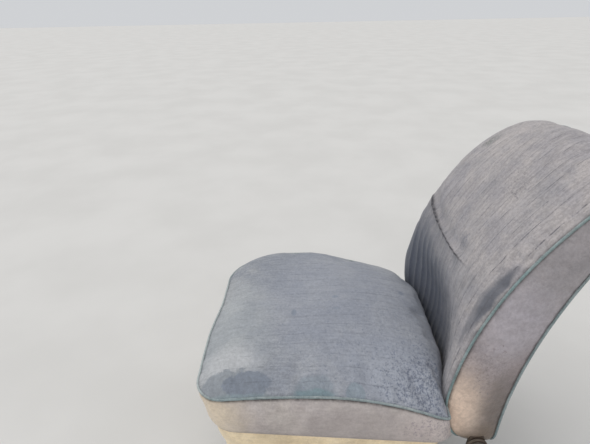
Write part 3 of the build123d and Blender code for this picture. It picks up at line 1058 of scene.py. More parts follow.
SIDE_COVER = LeatherCloth(
    name="backrest_side_mauve", clean=(138, 129, 130), dust=(154, 146, 150), pale=(167, 157, 157),
    dusting=0.22, groove=(70, 68, 70), streak=(0.3, 0.16, 0.16), mottle=0.24,
    patches=(
        Patch((212, 222, 280), (40, 44, 84), (160, 145, 134), 0.9, 0.4, 0.6),
        Patch((212, 194, 292), (40, 32, 84), (206, 184, 166), 0.95, 0.4, 0.8),
        # painted shade: darker towards the rear edge of the lower side
        Patch((212, 276, 290), (40, 34, 90), (96, 87, 82), 0.85, 0.5, 0.6),
        # dark brown at the bottom by the hinge: painted shade with grime
        Patch((212, 250, 214), (40, 50, 44), (98, 84, 70), 0.9, 0.5, 0.7),
        # painted shade: darker along the rear edge at mid height
        Patch((212, 300, 420), (40, 24, 90), (122, 112, 112), 0.7, 0.5, 0.6),
        Patch((212, 330, 620), (40, 110, 110), (134, 134, 138), 0.5, 0.5, 0.6),
        Patch((212, 275, 490), (40, 60, 70), (164, 160, 168), 0.6, 0.5, 0.6),
        Patch((212, 250, 380), (40, 40, 90), (118, 110, 110), 0.5, 0.5, 0.5, flecks=True),
    ))
REAR_COVER = LeatherCloth(
    name="rear_panel_grey", clean=(86, 88, 96), dust=(128, 127, 132), pale=(142, 139, 141),
    dusting=0.02, groove=(52, 52, 56), streak=(0.3, 0.3, 0.1), mottle=0.14)
THREAD = LeatherCloth(
    name="thread_pale", clean=(150, 146, 136), dust=(166, 162, 152), pale=(178, 174, 165),
    dusting=0.1, mottle=0.1)
PIPING_COVER = LeatherCloth(
    name="piping_green_grey", clean=(96, 122, 122), dust=(128, 145, 147), pale=(150, 157, 158),
    dusting=0.24, groove=(80, 90, 92), mottle=0.24, gloss=0.42)
CUSHION_PIPING = replace(
    PIPING_COVER, name="piping_dull", clean=(108, 124, 127), dust=(136, 147, 149),
    pale=(160, 167, 167),
    patches=(Patch((60, -262, 362), (185, 16, 60), (156, 163, 162), 0.75, 0.5, 0.3),))
GREEN_PAINT = PaintedSteel("stand_green_paint", (74, 84, 62), chipped=-0.02)
FRAME_PAINT = PaintedSteel("frame_green_paint", (66, 74, 56), chipped=0.02)
SPRING_STEEL = BareSteel("spring_wire", (112, 106, 98), (1.0, 1.0, 0.3), greasy=0.35, rusty=0.04)
PACKED_FINISHES = {
    "floor_strip": GREEN_PAINT, "stand_hoop": GREEN_PAINT, "cross_tube": GREEN_PAINT,
    "rail": BareSteel("slide_steel", (128, 125, 120), greasy=0.6),
    "runner": BareSteel("runner_steel", (138, 134, 128), greasy=0.3),
    "cradle": FRAME_PAINT, "frame_tube": FRAME_PAINT,
    "spring": SPRING_STEEL, "clips": SPRING_STEEL,
    "grip": MouldedGrip("grip_black_rubber"),
    "hinge": PaintedSteel("hinge_brown_black", (62, 50, 42), chipped=0.06),
    "lever": PaintedSteel("lever_black_paint", (38, 37, 36), chipped=0.02),
    "bolt": BareSteel("bolt_zinc", (150, 146, 132), (1.0, 1.0, 1.0), greasy=0.3),
    "cushion": TAN_COVER, "backrest": REAR_COVER,
}


# Upholstery


@dataclass(frozen=True)
class BackrestSide:
    """Side view of the backrest, as distances back and up from its hinge pivot."""

    pivot: Span
    heel_front: Span = (-14.0, -15.0)
    belly: Span = (-57.0, 50.0)
    bulge: Span = (-65.0, 130.0)
    shoulder: Span = (-3.0, 330.0)
    top_front: Span = (180.0, 543.0)
    roll_height: float = 521.0
    roll_radius: float = 42.0
    roll_end: float = -17.0
    top_rear: Span = (215.0, 519.0)
    back_middle: Span = (43.0, 120.0)
    heel_rear: Span = (33.0, -15.0)
    short_arc: int = 200
    long_arc: int = 600
    roll_points: int = 120

    def place(self, point: Span) -> np.ndarray:
        """Y and Z of a point given from the pivot."""
        return np.array(point) + self.pivot

    def _arc(self, points: Sequence[Span], count: int) -> np.ndarray:
        """Points along the arc through three points given from the pivot."""
        return arc_through(*[self.place(point) for point in points], count)

    def chord_height(self, points: np.ndarray) -> np.ndarray:
        """Height along the line from the heel to the top, at the front.

        Args:
            points: Y and Z of each point.

        Returns:
            The height of each point.
        """
        foot = self.place(self.heel_front)
        line = self.place(self.top_front) - foot
        return (points - foot) @ (line / np.linalg.norm(line))

    def front(self) -> SideCurve:
        """The front of the side view, which rolls over at the top.

        Returns:
            The curve.
        """
        lower = self._arc((self.heel_front, self.belly, self.bulge), self.short_arc)
        upper = self._arc((self.bulge, self.shoulder, self.top_front), self.long_arc)
        upper = upper[upper[:, 1] < self.pivot[1] + self.roll_height]
        run = np.vstack([lower, upper[1:]])
        turn = math.atan2(*(run[-1] - run[-2])[::-1])
        turns = np.linspace(turn, math.radians(self.roll_end), self.roll_points)
        centre = run[-1] + self.roll_radius * np.array([math.sin(turn), -math.cos(turn)])
        roll = centre + self.roll_radius * np.stack([-np.sin(turns), np.cos(turns)], 1)
        marks = self.chord_height(run)
        rolled = marks[-1] + self.roll_radius * (turn - turns)
        return SideCurve(np.vstack([run, roll[1:]]), np.concatenate([marks, rolled[1:]]))

    def rear(self) -> SideCurve:
        """The rear of the side view."""
        line = self._arc((self.heel_rear, self.back_middle, self.top_rear), self.long_arc)
        return SideCurve(line, self.chord_height(line))


@dataclass(frozen=True)
class Relief:
    """Sewn and creased detail of a face: heights, pleat seams, and grooves darkened with painted shade."""

    height: np.ndarray
    pleat: np.ndarray
    groove: np.ndarray


def band_shares(levels: int) -> np.ndarray:
    """Share across a band of each of its levels, from the face's rim to the back's."""
    return crowded(0, 1, levels, ends=0.7)


def piping_shadow(edge: np.ndarray) -> np.ndarray:
    """Painted shadow beside the piping: how dark a face is at some distance from it."""
    return 0.5 * np.exp(-np.clip(edge - 1.5, 0, None) / 1.6)


def tucks(across: np.ndarray, face_spread: float, back_spread: float = 0.03) -> np.ndarray:
    """How far a band is drawn in at its two seams, by the share across it."""
    return bell(across, 0.0, face_spread) + bell(across, 1.0, back_spread)


def seam_shadow(across: np.ndarray, face: float, face_spread: float, back: float) -> np.ndarray:
    """Painted shadow beside a band's two seams: how dark it is, by the share across it."""
    return face * bell(across, 0.03, face_spread) + back * bell(across, 0.97, 0.018)


@dataclass
class Padding:
    """A soft piece sewn from a face, a back and a band between their rims."""

    name: str
    body: str
    node: str
    slot: str
    fill: float
    covers: tuple[LeatherCloth, LeatherCloth, LeatherCloth]
    face_cap: float = 9.0
    band_cap: float = 6.0
    back_cap: float = 4.0
    face_freedom: Span = (0.2, 0.1)
    band_freedom: Span = (0.1, 0.4)
    band_levels: tuple[int, int] = (6, 15)
    piping_step: float = 3.2
    piping_smoothing: int = 8

    def columns(self, fine: bool) -> np.ndarray:
        """X of each column of the face's grid, which is coarser where it is simulated."""
        raise NotImplementedError

    def rows(self, fine: bool) -> np.ndarray:
        """Share of each column's length at which its points lie."""
        raise NotImplementedError

    def face_points(self, x: np.ndarray, share: np.ndarray) -> np.ndarray:
        """Points of the face at some columns and shares."""
        raise NotImplementedError

    def back_points(self, x: np.ndarray, share: np.ndarray) -> np.ndarray:
        """Points of the back at some columns and shares."""
        raise NotImplementedError

    def bulge(self, across: np.ndarray, rim: np.ndarray) -> np.ndarray:
        """How far the band stands out, by the share across it and the rim's points."""
        raise NotImplementedError

    def seam_shade(self, across: np.ndarray) -> np.ndarray:
        """Painted shadow beside the band's two seams: how dark it is, by the share across it."""
        return seam_shadow(across, 0.9, 0.02, 0.5)

    def relief(self, x: np.ndarray, share: np.ndarray) -> Relief:
        """Sewn and creased detail of the face at some columns and shares."""
        flat = np.zeros_like(x)
        return Relief(flat, flat, flat)

    def grid(self, fine: bool) -> Pair:
        """Column and share of each point of the face's grid."""
        x, share = np.meshgrid(self.columns(fine), self.rows(fine))
        return x, share

    def shell(self, fine: bool) -> Shell:
        """The piece's grids before any cloth has moved.

        Args:
            fine: Whether the grid is the final one, and not the one that is simulated.

        Returns:
            The merged shell.
        """
        face, back = (points(*self.grid(fine)) for points in (self.face_points, self.back_points))
        row, column = rim_index(*face.shape[:2])
        front_rim, back_rim = face[row, column], back[row, column]
        across = band_shares(self.band_levels[fine])
        along = np.roll(front_rim, -1, 0) - np.roll(front_rim, 1, 0)
        outward = unit(np.cross(along, back_rim - front_rim))
        middle = (front_rim + back_rim).mean(0) / 2
        if np.einsum("ij,ij->", outward, front_rim - middle) < 0:
            outward = -outward
        stand = self.bulge(across[:, None], front_rim[None])
        band = (front_rim[None] * (1 - across)[:, None, None] + back_rim[None] * across[:, None, None]
                + outward[None] * stand[..., None])
        band[0], band[-1] = front_rim, back_rim
        made = Shell()
        made.add("face", face, Region.FACE)
        made.add("back", back, Region.BACK)
        made.add("band", band, Region.BAND, closed=True)
        made.merge()
        return made

    def cloth_move(self, fine: Shell) -> dict[str, np.ndarray]:
        """Simulate the coarse cover and read its movement at the fine shell's points.

        Args:
            fine: The fine shell.

        Returns:
            Movement of each point of each grid, in millimetres.
        """
        coarse = self.shell(fine=False)
        row, column = rim_index(*coarse.grids["face"].shape[:2])
        held = np.zeros(len(coarse.points), bool)
        for name in ("face", "back"):
            held[coarse.index[name][row, column]] = True
        free = self._seam_freedom()
        levels, around = coarse.grids["band"].shape[:2]
        across = band_shares(levels)
        least, reach = self.band_freedom
        band_free = np.clip(least + np.minimum(across, 1 - across) / reach, 0, 1)
        cap = coarse.scatter({
            "face": self.face_cap * free, "back": self.back_cap * free,
            "band": np.repeat(self.band_cap * band_free[:, None, None], around, 1)})[:, 0]
        move = inflate(f"{self.name}_cloth", coarse.points, coarse.quads, held, cap)
        along = spline_weights(self.rows(False), self.rows(True))
        across = spline_weights(self.columns(False), self.columns(True))
        out = {name: np.einsum("ij,jkc,lk->ilc", along, move[coarse.index[name]], across)
               for name in ("face", "back")}
        out["band"] = self._band_move(coarse, fine, move)
        return out

    def _seam_freedom(self) -> np.ndarray:
        """How freely the coarse face may move: less beside its seam, so that it stays smooth.

        Returns:
            The share of the cap that each point has.
        """
        x, share = self.grid(fine=False)
        least, reach = self.face_freedom
        apart = np.minimum(1 - np.abs(x / x.max()), np.minimum(share, 1 - share))
        return np.clip(least + apart / reach, 0, 1)[..., None]

    def _band_move(self, coarse: Shell, fine: Shell, move: np.ndarray, wrap: int = 3) -> np.ndarray:
        """Movement of the fine band, read from the coarse band.

        Args:
            coarse: The simulated shell before it moved.
            fine: The fine shell.
            move: Movement of each merged point of the coarse shell.
            wrap: Points that are repeated past each end of the closed band.

        Returns:
            Movement of each point of the fine band.
        """
        shares = []
        for shell in (coarse, fine):
            rim = shell.grids["band"][0]
            steps = np.linalg.norm(np.roll(rim, -1, 0) - rim, axis=1)
            shares.append((np.cumsum(steps) - steps) / steps.sum())
        knots = np.concatenate([shares[0][-wrap:] - 1, shares[0], shares[0][:wrap] + 1])
        band = move[coarse.index["band"]]
        band = np.concatenate([band[:, -wrap:], band, band[:, :wrap]], 1)
        levels = [band_shares(len(shell.grids["band"])) for shell in (coarse, fine)]
        return np.einsum("ij,jkc,lk->ilc", spline_weights(*levels), band,
                         spline_weights(knots, shares[1]))

    def build(self) -> Shell:
        """Make the piece and dress it.

        Returns:
            Its shell, whose points are the final ones.
        """
        made = self.shell(fine=True)
        made.points = made.points + made.scatter(self.cloth_move(made))
        x, share = self.grid(fine=True)
        relief = self.relief(x, share)
        plain = {name: np.zeros((*made.grids[name].shape[:2], 4)) for name in ("band", "back")}
        # painted shadow beside the band's seams, kept in the groove column
        plain["band"][..., 2] = self.seam_shade(band_shares(len(made.grids["band"])))[:, None]
        found = made.scatter({"face": np.stack([relief.height, relief.pleat, relief.groove, x], -1),
                              **plain})
        made.points = made.points + made.normals() * found[:, :1]
        piece = make_object(self.name, made.points, made.quads, made.parts)
        for column, name in enumerate(("pleat", "groove", "across"), 1):
            store(piece, name, found[:, column])
        dress(piece, self.covers, self.body, self.node)
        return made

    def rim_path(self, made: Shell, grid: str, outward: float) -> np.ndarray:
        """The line of a seam, for its piping.

        Args:
            made: The built shell.
            grid: The grid whose rim is wanted.
            outward: How far the line stands off the seam.

        Returns:
            Points round the seam.
        """
        row, column = rim_index(*made.grids[grid].shape[:2])
        number = made.index[grid][row, column]
        lift = made.normals()[number]
        for _ in range(self.piping_smoothing):
            lift = unit(np.roll(lift, 1, 0) + lift + np.roll(lift, -1, 0))
        return resampled(made.points[number] + lift * outward, self.piping_step)


def pleat_columns(half_width: float, lines: int, per_pleat: int, edge_count: int) -> np.ndarray:
    """Columns that fall on every pleat seam, with more of them near the sides.

    Args:
        half_width: Half the cover's width.
        lines: How many pleat seams lie on each side of the middle.
        per_pleat: Columns for each pleat.
        edge_count: Columns from the outermost seam to the side.

    Returns:
        X of each column, in order.
    """
    outer = (lines - 0.5) * PLEAT_PITCH
    middle = np.linspace(-outer, outer, (2 * lines - 1) * per_pleat + 1)
    edge = outer + (half_width - outer) * np.sin(np.linspace(0, math.pi / 2, edge_count + 1))[1:]
    return np.concatenate([-edge[::-1], middle, edge])


def pleat_rolls(x: np.ndarray, lines: int) -> np.ndarray:
    """Cross-section of sewn pleats.

    Args:
        x: Place across the cover.
        lines: How many pleat seams lie on each side of the middle.

    Returns:
        The roll's height, from 0 at a seam to 1.
    """
    outer = (lines - 0.5) * PLEAT_PITCH
    apart = np.abs(((x / PLEAT_PITCH) % 1.0) - 0.5) * 2
    inside = 1 - ease(np.abs(x), outer - 1, outer + 7)
    return 1 - (1 - apart) ** 2.6 * inside


@dataclass
class CushionPart(Padding):
    """What the cushion's pad and box share: the seam between them, and the backrest's front."""

    half_width: float = 250.0
    front_y: float = -265.0
    depth: float = 470.0
    rear_corner: float = 55.0
    far_set_back: float = 10.0
    front_tuck: float = 17.0
    seam_z: float = 285.75
    seam_fall: float = 32.0
    rest_gap: float = 1.0
    rest_guess: float = 300.0
    rest_top: float = 420.0
    rear_y: float = 200.0
    backrest: SideCurve | None = None

    def seam_height(self, y: np.ndarray | float) -> np.ndarray | float:
        """Z of the seam between pad and box at some Y."""
        return self.seam_z - self.seam_fall * (y - self.front_y) / self.depth

    def rest_y(self, z: float) -> float:
        """Y at which the backrest's front stops the piece, at some height."""
        low = self.backrest.points[self.backrest.points[:, 1] < self.rest_top]
        return float(np.interp(z, low[:, 1], low[:, 0])) - self.rest_gap


@dataclass
class CushionPad(CushionPart):
    """Upper pad of the cushion, with a crowned and faintly pleated face."""

    top_z: float = 363.75
    level_depth: float = 205.0
    top_fall: float = 72.0
    crown: float = 13.0
    crown_reach: float = 52.0
    dome_front: float = 5.0
    dome_rear: float = 45.0
    dome_rise: float = 1.6
    dome_width: float = 2.2
    dome_fullness: Span = (1.15, 0.8)
    unevenness: float = 1.3
    rear_push: float = 33.0
    push_reach: float = 205.0
    rear_reach: float = 24.0
    droop: float = 9.0
    droop_spread: float = 68.0
    sag_right: float = 13.0
    sag_along: Span = (-70.0, 60.0)
    sag_across: Span = (40.0, 245.0)
    sat_in: float = 4.0
    sat_across: Span = (10.0, 95.0)
    sat_along: Span = (-60.0, 90.0)
    swell: float = 5.5
    front_swell: float = 2.5
    front_over: Span = (190.0, 235.0)
    seam_tuck: float = 2.4
    crease_depth: float = 1.5
    crease_length: float = 5.5
    pucker_depth: float = 0.5
    pucker_length: float = 5.2
    pucker_at: Span = (9.0, 6.0)
    band_end: Span = (150.0, 185.0)
    corner: float = 50.0
    slack_corner: float = 83.0
    pleat_lines: int = 8
    pleat_depth: float = 0.6

    def outline(self) -> Outline:
        """The pad's outline in plan."""
        return Outline(self.half_width, self.front_y, self.front_y + self.depth, self.corner,
                       self.rear_corner, self.slack_corner, self.far_set_back)

    def top_height(self, y: np.ndarray | float) -> np.ndarray:
        """Z of the piping: level, then an arc that falls to the rear.

        Args:
            y: Where to read it.

        Returns:
            The height at each Y.
        """
        run, fall = self.depth - self.level_depth, self.top_fall
        radius = (run**2 + fall**2) / (2 * fall)
        past = np.clip(y - self.front_y - self.level_depth, 0, run)
        return self.top_z - radius + np.sqrt(radius**2 - past**2)

    def sunk(self, x: np.ndarray, y: np.ndarray) -> np.ndarray:
        """How far the front corners and the rear of the right side have sunk with use.

        Args:
            x: X of each point.
            y: Y of each point.

        Returns:
            How much lower each point is.
        """
        away = np.hypot(self.half_width - np.abs(x), y - self.front_y)
        rear = self.sag_right * ease(y, *self.sag_along) * ease(-x, *self.sag_across)
        return self.droop * np.exp(-0.5 * (away / self.droop_spread) ** 2) + rear

    def columns(self, fine: bool) -> np.ndarray:
        """X of each column of the face's grid."""
        return (pleat_columns(self.half_width, self.pleat_lines, per_pleat=8, edge_count=11) if fine
                else crowded(-self.half_width, self.half_width, count=31, ends=0.6))

    def rows(self, fine: bool) -> np.ndarray:
        """Share of each column's length at which its points lie."""
        return crowded(0, 1, count=124 if fine else 29, ends=0.5)

    def face_points(self, x: np.ndarray, share: np.ndarray) -> np.ndarray:
        """Points of the crowned face.

        Args:
            x: Column of each point.
            share: Its share of the column's length.

        Returns:
            The points.
        """
        outline = self.outline()
        rest = self.rest_y(self.top_height(self.rest_y(self.rest_guess)))
        push = self.rear_push * np.clip(1 - (x / self.push_reach) ** 2, 0, 1)
        first, last = outline.first(x), np.minimum(outline.last(x), rest + push)
        y = first + (last - first) * share
        side = shoulder(self.half_width - np.abs(x), self.crown_reach)
        front = shoulder(y - first, self.crown_reach)
        rear = shoulder(last - y, self.rear_reach, 3.0)
        along = (y - self.front_y) / self.depth
        dome = self.dome_front + (self.dome_rear - self.dome_front) * along**self.dome_rise
        right, left = self.dome_fullness
        middle = np.clip(1 - np.abs(x / self.half_width) ** self.dome_width, 0, 1)
        dome = dome * middle ** np.where(x > 0, left, right)
        worn = -self.sat_in * bell(x, *self.sat_across) * bell(y, *self.sat_along)
        uneven = waves(self.unevenness, x, y, (47, 61), (0.6, 1.1))
        rise = (self.crown + dome + worn + uneven) * side * front * rear
        return np.stack([x, y, self.top_height(y) - self.sunk(x, y) + rise], -1)

    def back_points(self, x: np.ndarray, share: np.ndarray) -> np.ndarray:
        """Points of the flat underside, on the seam.

        Args:
            x: Column of each point.
            share: Its share of the column's length.

        Returns:
            The points.
        """
        outline = replace(self.outline(), start=self.front_y + self.front_tuck)
        rest = self.rest_y(float(self.seam_height(self.rear_y)))
        first, last = outline.first(x), np.minimum(outline.last(x), rest)
        y = first + (last - first) * share
        return np.stack([x, y, self.seam_height(y)], -1)

    def bulge(self, across: np.ndarray, rim: np.ndarray) -> np.ndarray:
        """The boxing is tucked under its piping, swells below it and creases at the left corner.

        Args:
            across: Share across the band.
            rim: Points of the face's rim.

        Returns:
            How far the band stands out.
        """
        x, y = rim[..., 0], rim[..., 1]
        slack = (self.swell - self.front_swell) * ease(-y, *self.front_over)
        swell = (self.swell - slack) * arch(across, 0.8)
        tuck = self.seam_tuck * tucks(across, 0.035)
        corner = ease(x - self.half_width, -self.corner - 20, -12)
        corner = corner * ease(-y, -self.front_y - self.corner - 20, -self.front_y - 15)
        crease = self.crease_depth * np.sin((x + y) / self.crease_length + 1.4 * across) * corner
        return (swell - tuck + crease * arch(across)) * (1 - ease(y, *self.band_end))

    def relief(self, x: np.ndarray, share: np.ndarray) -> Relief:
        """Faint pleats, puckers along the piping, and the painted shadow beside it.

        Args:
            x: Column of each point.
            share: Its share of the column's length.

        Returns:
            The relief.
        """
        rolls = pleat_rolls(x, self.pleat_lines)
        inside = ease(share, 0.03, 0.12) * (1 - ease(share, 0.93, 1.0))
        edge = np.minimum(np.minimum(share, 1 - share) * self.depth, self.half_width - np.abs(x))
        pucker = self.pucker_depth * np.sin((x + share * self.depth) / self.pucker_length)
        height = self.pleat_depth * (rolls - 1) * inside + pucker * bell(edge, *self.pucker_at)
        # the groove column holds the painted shadow beside the piping
        return Relief(height, inside * 0.34, piping_shadow(edge))

    def seam_shade(self, across: np.ndarray) -> np.ndarray:
        """Painted shadow: the boxing is dark under its piping, and soft where it meets the box."""
        return seam_shadow(across, 0.95, 0.022, 0.1)


@dataclass
class CushionBox(CushionPart):
    """Sprung lower box of the cushion, tapering down, in tan cloth."""

    bottom_z: float = 191.75
    seam_inset: float = 7.0
    corner: float = 55.0
    slack_corner: float = 90.0
    taper: float = 13.0
    gap: float = 0.6
    swell: float = 5.0
    fold_depth: float = 1.1
    fold_counts: Span = (23.0, 7.0)
    fold_centre: float = -30.0
    lower_roll: float = 3.0
    seam_tuck: float = 2.0
    band_end: Span = (130.0, 175.0)

    def columns(self, fine: bool) -> np.ndarray:
        """Each column as a share of the half width."""
        return crowded(-1, 1, count=121 if fine else 29, ends=0.7)

    def rows(self, fine: bool) -> np.ndarray:
        """Share of each column's length at which its points lie."""
        return crowded(0, 1, count=90 if fine else 25, ends=0.5)

    def _level(self, x: np.ndarray, share: np.ndarray, inset: float, z: float) -> Pair:
        """X and Y on the box's outline at some level.

        Args:
            x: Column of each point, as a share of the half width.
            share: Its share of the column's length.
            inset: How far the outline is drawn in there.
            z: Height at which the backrest stops it.

        Returns:
            X values and Y values.
        """
        full = Outline(self.half_width, self.front_y + self.front_tuck, self.front_y + self.depth,
                       self.corner, self.rear_corner, self.slack_corner, self.far_set_back)
        outline = full.drawn_in(inset)
        across = x * outline.half_width
        first, last = outline.first(across), np.minimum(outline.last(across), self.rest_y(z))
        return across, first + (last - first) * share

    def face_points(self, x: np.ndarray, share: np.ndarray) -> np.ndarray:
        """Points of the top, under the pad."""
        across, y = self._level(x, share, self.seam_inset, self.seam_z - self.seam_fall)
        return np.stack([across, y, self.seam_height(y) - self.gap], -1)

    def back_points(self, x: np.ndarray, share: np.ndarray) -> np.ndarray:
        """Points of the underside, on the springs.

        Args:
            x: Column of each point, as a share of the half width.
            share: Its share of the column's length.

        Returns:
            The points.
        """
        drop = self.seam_z - self.bottom_z
        inset = self.seam_inset + drop * math.tan(math.radians(self.taper))
        across, y = self._level(x, share, inset, self.bottom_z + 5)
        return np.stack([across, y, np.full_like(y, self.bottom_z)], -1)

    def bulge(self, across: np.ndarray, rim: np.ndarray) -> np.ndarray:
        """Soft folds between the seam and the rolled lower edge.

        Args:
            across: Share across the band.
            rim: Points of the face's rim.

        Returns:
            How far the band stands out.
        """
        swell = self.swell * arch(across, 0.7)
        roll = self.lower_roll * bell(across, 0.9, 0.05)
        turn = np.arctan2(rim[..., 1] - self.fold_centre, rim[..., 0])
        many, few = self.fold_counts
        folds = self.fold_depth * np.sin(turn * many + 2 * across) * np.sin(turn * few + 0.8) * arch(across)
        tuck = self.seam_tuck * bell(across, 0.0, 0.03)
        return (swell + roll + folds) * (1 - ease(rim[..., 1], *self.band_end)) - tuck

    def seam_shade(self, across: np.ndarray) -> np.ndarray:
        """Painted shadow: the box is only a little darker beside its two seams."""
        return seam_shadow(across, 0.12, 0.018, 0.4)


@dataclass
class BackrestPad(Padding):
    """Backrest with a pleated front, a deep fold across it and a sat-in hollow below."""

    side: BackrestSide | None = None
    half_width: float = 212.0
    top_radius: float = 108.0
    heel_radius: float = 45.0
    crown: float = 13.0
    crown_reach: float = 40.0
    heel_reach: float = 30.0
    lower_below: Span = (-330.0, -170.0)
    hollow: float = 56.0
    hollow_height: float = 118.0
    hollow_spread: float = 95.0
    hollow_below: Span = (-360.0, -180.0)
    unevenness: float = 1.5
    fold_height: float = 303.0
    fold_rise: float = 38.0
    fold_depth: float = 6.5
    fold_share: float = 0.525
    fold_half: float = 205.0
    fold_left_end: Span = (45.0, 115.0)
    fold_deepens: Span = (20.0, 150.0)
    roll_above: Point = (3.6, 15.0, 9.0)
    roll_below: Point = (1.4, -14.0, 9.0)
    wrinkle_depth: float = 0.7
    wrinkle_lengths: Span = (6.5, 31.0)
    wrinkle_at: Span = (-38.0, 26.0)
    wrinkle_across: Span = (-60.0, 120.0)
    far_set_back: float = 14.0
    set_back_end: Span = (60.0, 175.0)
    far_corner_sag: float = 14.0
    sag_across: Span = (40.0, 200.0)
    sag_above: Span = (430.0, 560.0)
    top_rise: float = 5.0
    rise_across: Span = (-60.0, 10.0)
    rise_above: Span = (460.0, 580.0)
    swell: float = 5.0
    top_swell: float = 3.5
    top_band: Span = (640.0, 745.0)
    seam_tuck: float = 2.6
    pleat_lines: int = 7
    pleat_depth: float = 1.3
    deep_pleats: Span = (210.0, 310.0)
    row_count: int = 215

    def __post_init__(self) -> None:
        """Read the side view once."""
        self._front, self._rear = self.side.front(), self.side.rear()
        self._length = float(self._front.marks[-1])
        self._outline = Outline(self.half_width, 0.0, self._length, self.heel_radius, self.top_radius)

    def columns(self, fine: bool) -> np.ndarray:
        """X of each column of the face's grid."""
        return (pleat_columns(self.half_width, self.pleat_lines, per_pleat=8, edge_count=15) if fine
                else crowded(-self.half_width, self.half_width, count=29, ends=0.6))

    def rows(self, fine: bool) -> np.ndarray:
        """Share of each column's length, with more rows along the fold.

        Args:
            fine: Whether the grid is the final one.

        Returns:
            The shares in order.
        """
        if not fine:
            return crowded(0, 1, count=41, ends=0.35)
        sampled = np.linspace(0, 1, 4001)
        ends = np.minimum(sampled, 1 - sampled)
        crowding = 1 + 2.2 * np.exp(-ends / 0.03) + 3.2 * bell(sampled, self.fold_share, 0.016)
        run = np.concatenate([[0], np.cumsum(crowding[1:])])
        return np.interp(np.linspace(0, run[-1], self.row_count), run, sampled)

    def fold(self, x: np.ndarray) -> np.ndarray:
        """Height of the fold that runs across the front."""
        return self.fold_height + self.fold_rise * (x / self.fold_half) ** 2

    def _height(self, x: np.ndarray, share: np.ndarray) -> np.ndarray:
        """Height along the chord, with the rows bent so that one of them lies in the fold.

        Args:
            x: Column of each point.
            share: Its share of the column's length.

        Returns:
            The height of each point.
        """
        first, last = self._outline.first(x), self._outline.last(x)
        wanted = (self.fold(x) - first) / (last - first)
        bend = (wanted - self.fold_share) / (self.fold_share * (1 - self.fold_share))
        return first + (last - first) * (share + bend * share * (1 - share))

    def face_points(self, x: np.ndarray, share: np.ndarray) -> np.ndarray:
        """Points of the front, crowned above and hollow below.

        Args:
            x: Column of each point.
            share: Its share of the column's length.

        Returns:
            The points.
        """
        height = self._height(x, share)
        y, z = self._front.at(height)
        out_y, out_z = self._front.forward(height)
        rise = (shoulder(self.half_width - np.abs(x), self.crown_reach)
                * shoulder(height - self._outline.first(x), self.heel_reach)
                * shoulder(self._outline.last(x) - height, self.crown_reach))
        lower = ease(-height, *self.lower_below)
        hollow = self.hollow * np.clip(1 - np.abs(x / self.half_width) ** 2.4, 0, 1) ** 1.2
        hollow = (hollow * bell(height, self.hollow_height, self.hollow_spread)
                  * ease(-height, *self.hollow_below))
        uneven = waves(self.unevenness, x, height, (52, 74), (1.9, 0.5))
        stand = (self.crown * (1 - 0.15 * lower) + uneven) * rise - hollow
        back = self.far_set_back * ease(-x, 60, self.half_width) * (1 - ease(height, *self.set_back_end))
        sag = self.far_corner_sag * ease(-x, *self.sag_across) * ease(height, *self.sag_above)
        lift = self.lift(x, height) - sag
        return np.stack([x, y + out_y * stand + back, z + out_z * stand + lift], -1)

    def back_points(self, x: np.ndarray, share: np.ndarray) -> np.ndarray:
        """Points of the rear, gently crowned.

        Args:
            x: Column of each point.
            share: Its share of the column's length.

        Returns:
            The points.
        """
        height = self._height(x, share)
        low, high = self._rear.marks[0], self._rear.marks[-1]
        y, z = self._rear.at(low + (high - low) * height / self._length)
        return np.stack([x, y, z + self.lift(x, height)], -1)

    def lift(self, x: np.ndarray, height: np.ndarray) -> np.ndarray:
        """How much higher the padding stands along the middle and left of the top."""
        return self.top_rise * ease(x, *self.rise_across) * ease(height, *self.rise_above)

    def bulge(self, across: np.ndarray, rim: np.ndarray) -> np.ndarray:
        """The side boxing swells, and less so over the narrow top.

        Args:
            across: Share across the band.
            rim: Points of the face's rim.

        Returns:
            How far the band stands out.
        """
        slack = (self.swell - self.top_swell) * ease(rim[..., 2], *self.top_band)
        return (self.swell - slack) * arch(across, 0.75) - self.seam_tuck * tucks(across, 0.03)

    def relief(self, x: np.ndarray, share: np.ndarray) -> Relief:
        """Sewn pleats, the fold with its rolls and the painted shade in its crease, and fine wrinkles
        beside it.

        Args:
            x: Column of each point.
            share: Its share of the column's length.

        Returns:
            The relief.
        """
        height = self._height(x, share)
        rolls = pleat_rolls(x, self.pleat_lines)
        inside = ease(share, 0.02, 0.07) * (1 - ease(share, 0.93, 0.985))
        low = 1 - ease(height, *self.deep_pleats)
        pleats = self.pleat_depth * (1 + 1.4 * low) * (rolls - 1) * inside
        past, from_right = height - self.fold(x), self.half_width + x
        reach = (1 - ease(x, *self.fold_left_end)) * ease(from_right, 4, 22)
        far = ease(-x, *self.fold_deepens)
        deep = reach * ease(from_right, 8, 62)
        cut = -self.fold_depth * (0.5 + 0.7 * far) * np.exp(-np.abs(past) / (2.2 + 1.6 * far)) * deep
        above, below = (size * bell(past, *at) for size, *at in (self.roll_above, self.roll_below))
        rolls_beside = (above + below) * deep
        short, long = self.wrinkle_lengths
        wrinkle = (self.wrinkle_depth * np.sin(past / short + x / long) * bell(past, *self.wrinkle_at)
                   * ease(-x, *self.wrinkle_across))
        edge = np.minimum(np.minimum(share, 1 - share) * self._length, self.half_width - np.abs(x))
        # painted shade and dirt in the fold's crease, wider on the far side, and the painted shadow beside
        # the piping
        line = np.minimum(1, 1.25 * bell(past, 0, 1.2 + 2.2 * far)) * reach
        return Relief(pleats + cut + rolls_beside + wrinkle, inside * (0.78 + 0.2 * low),
                      np.maximum(line, piping_shadow(edge)))


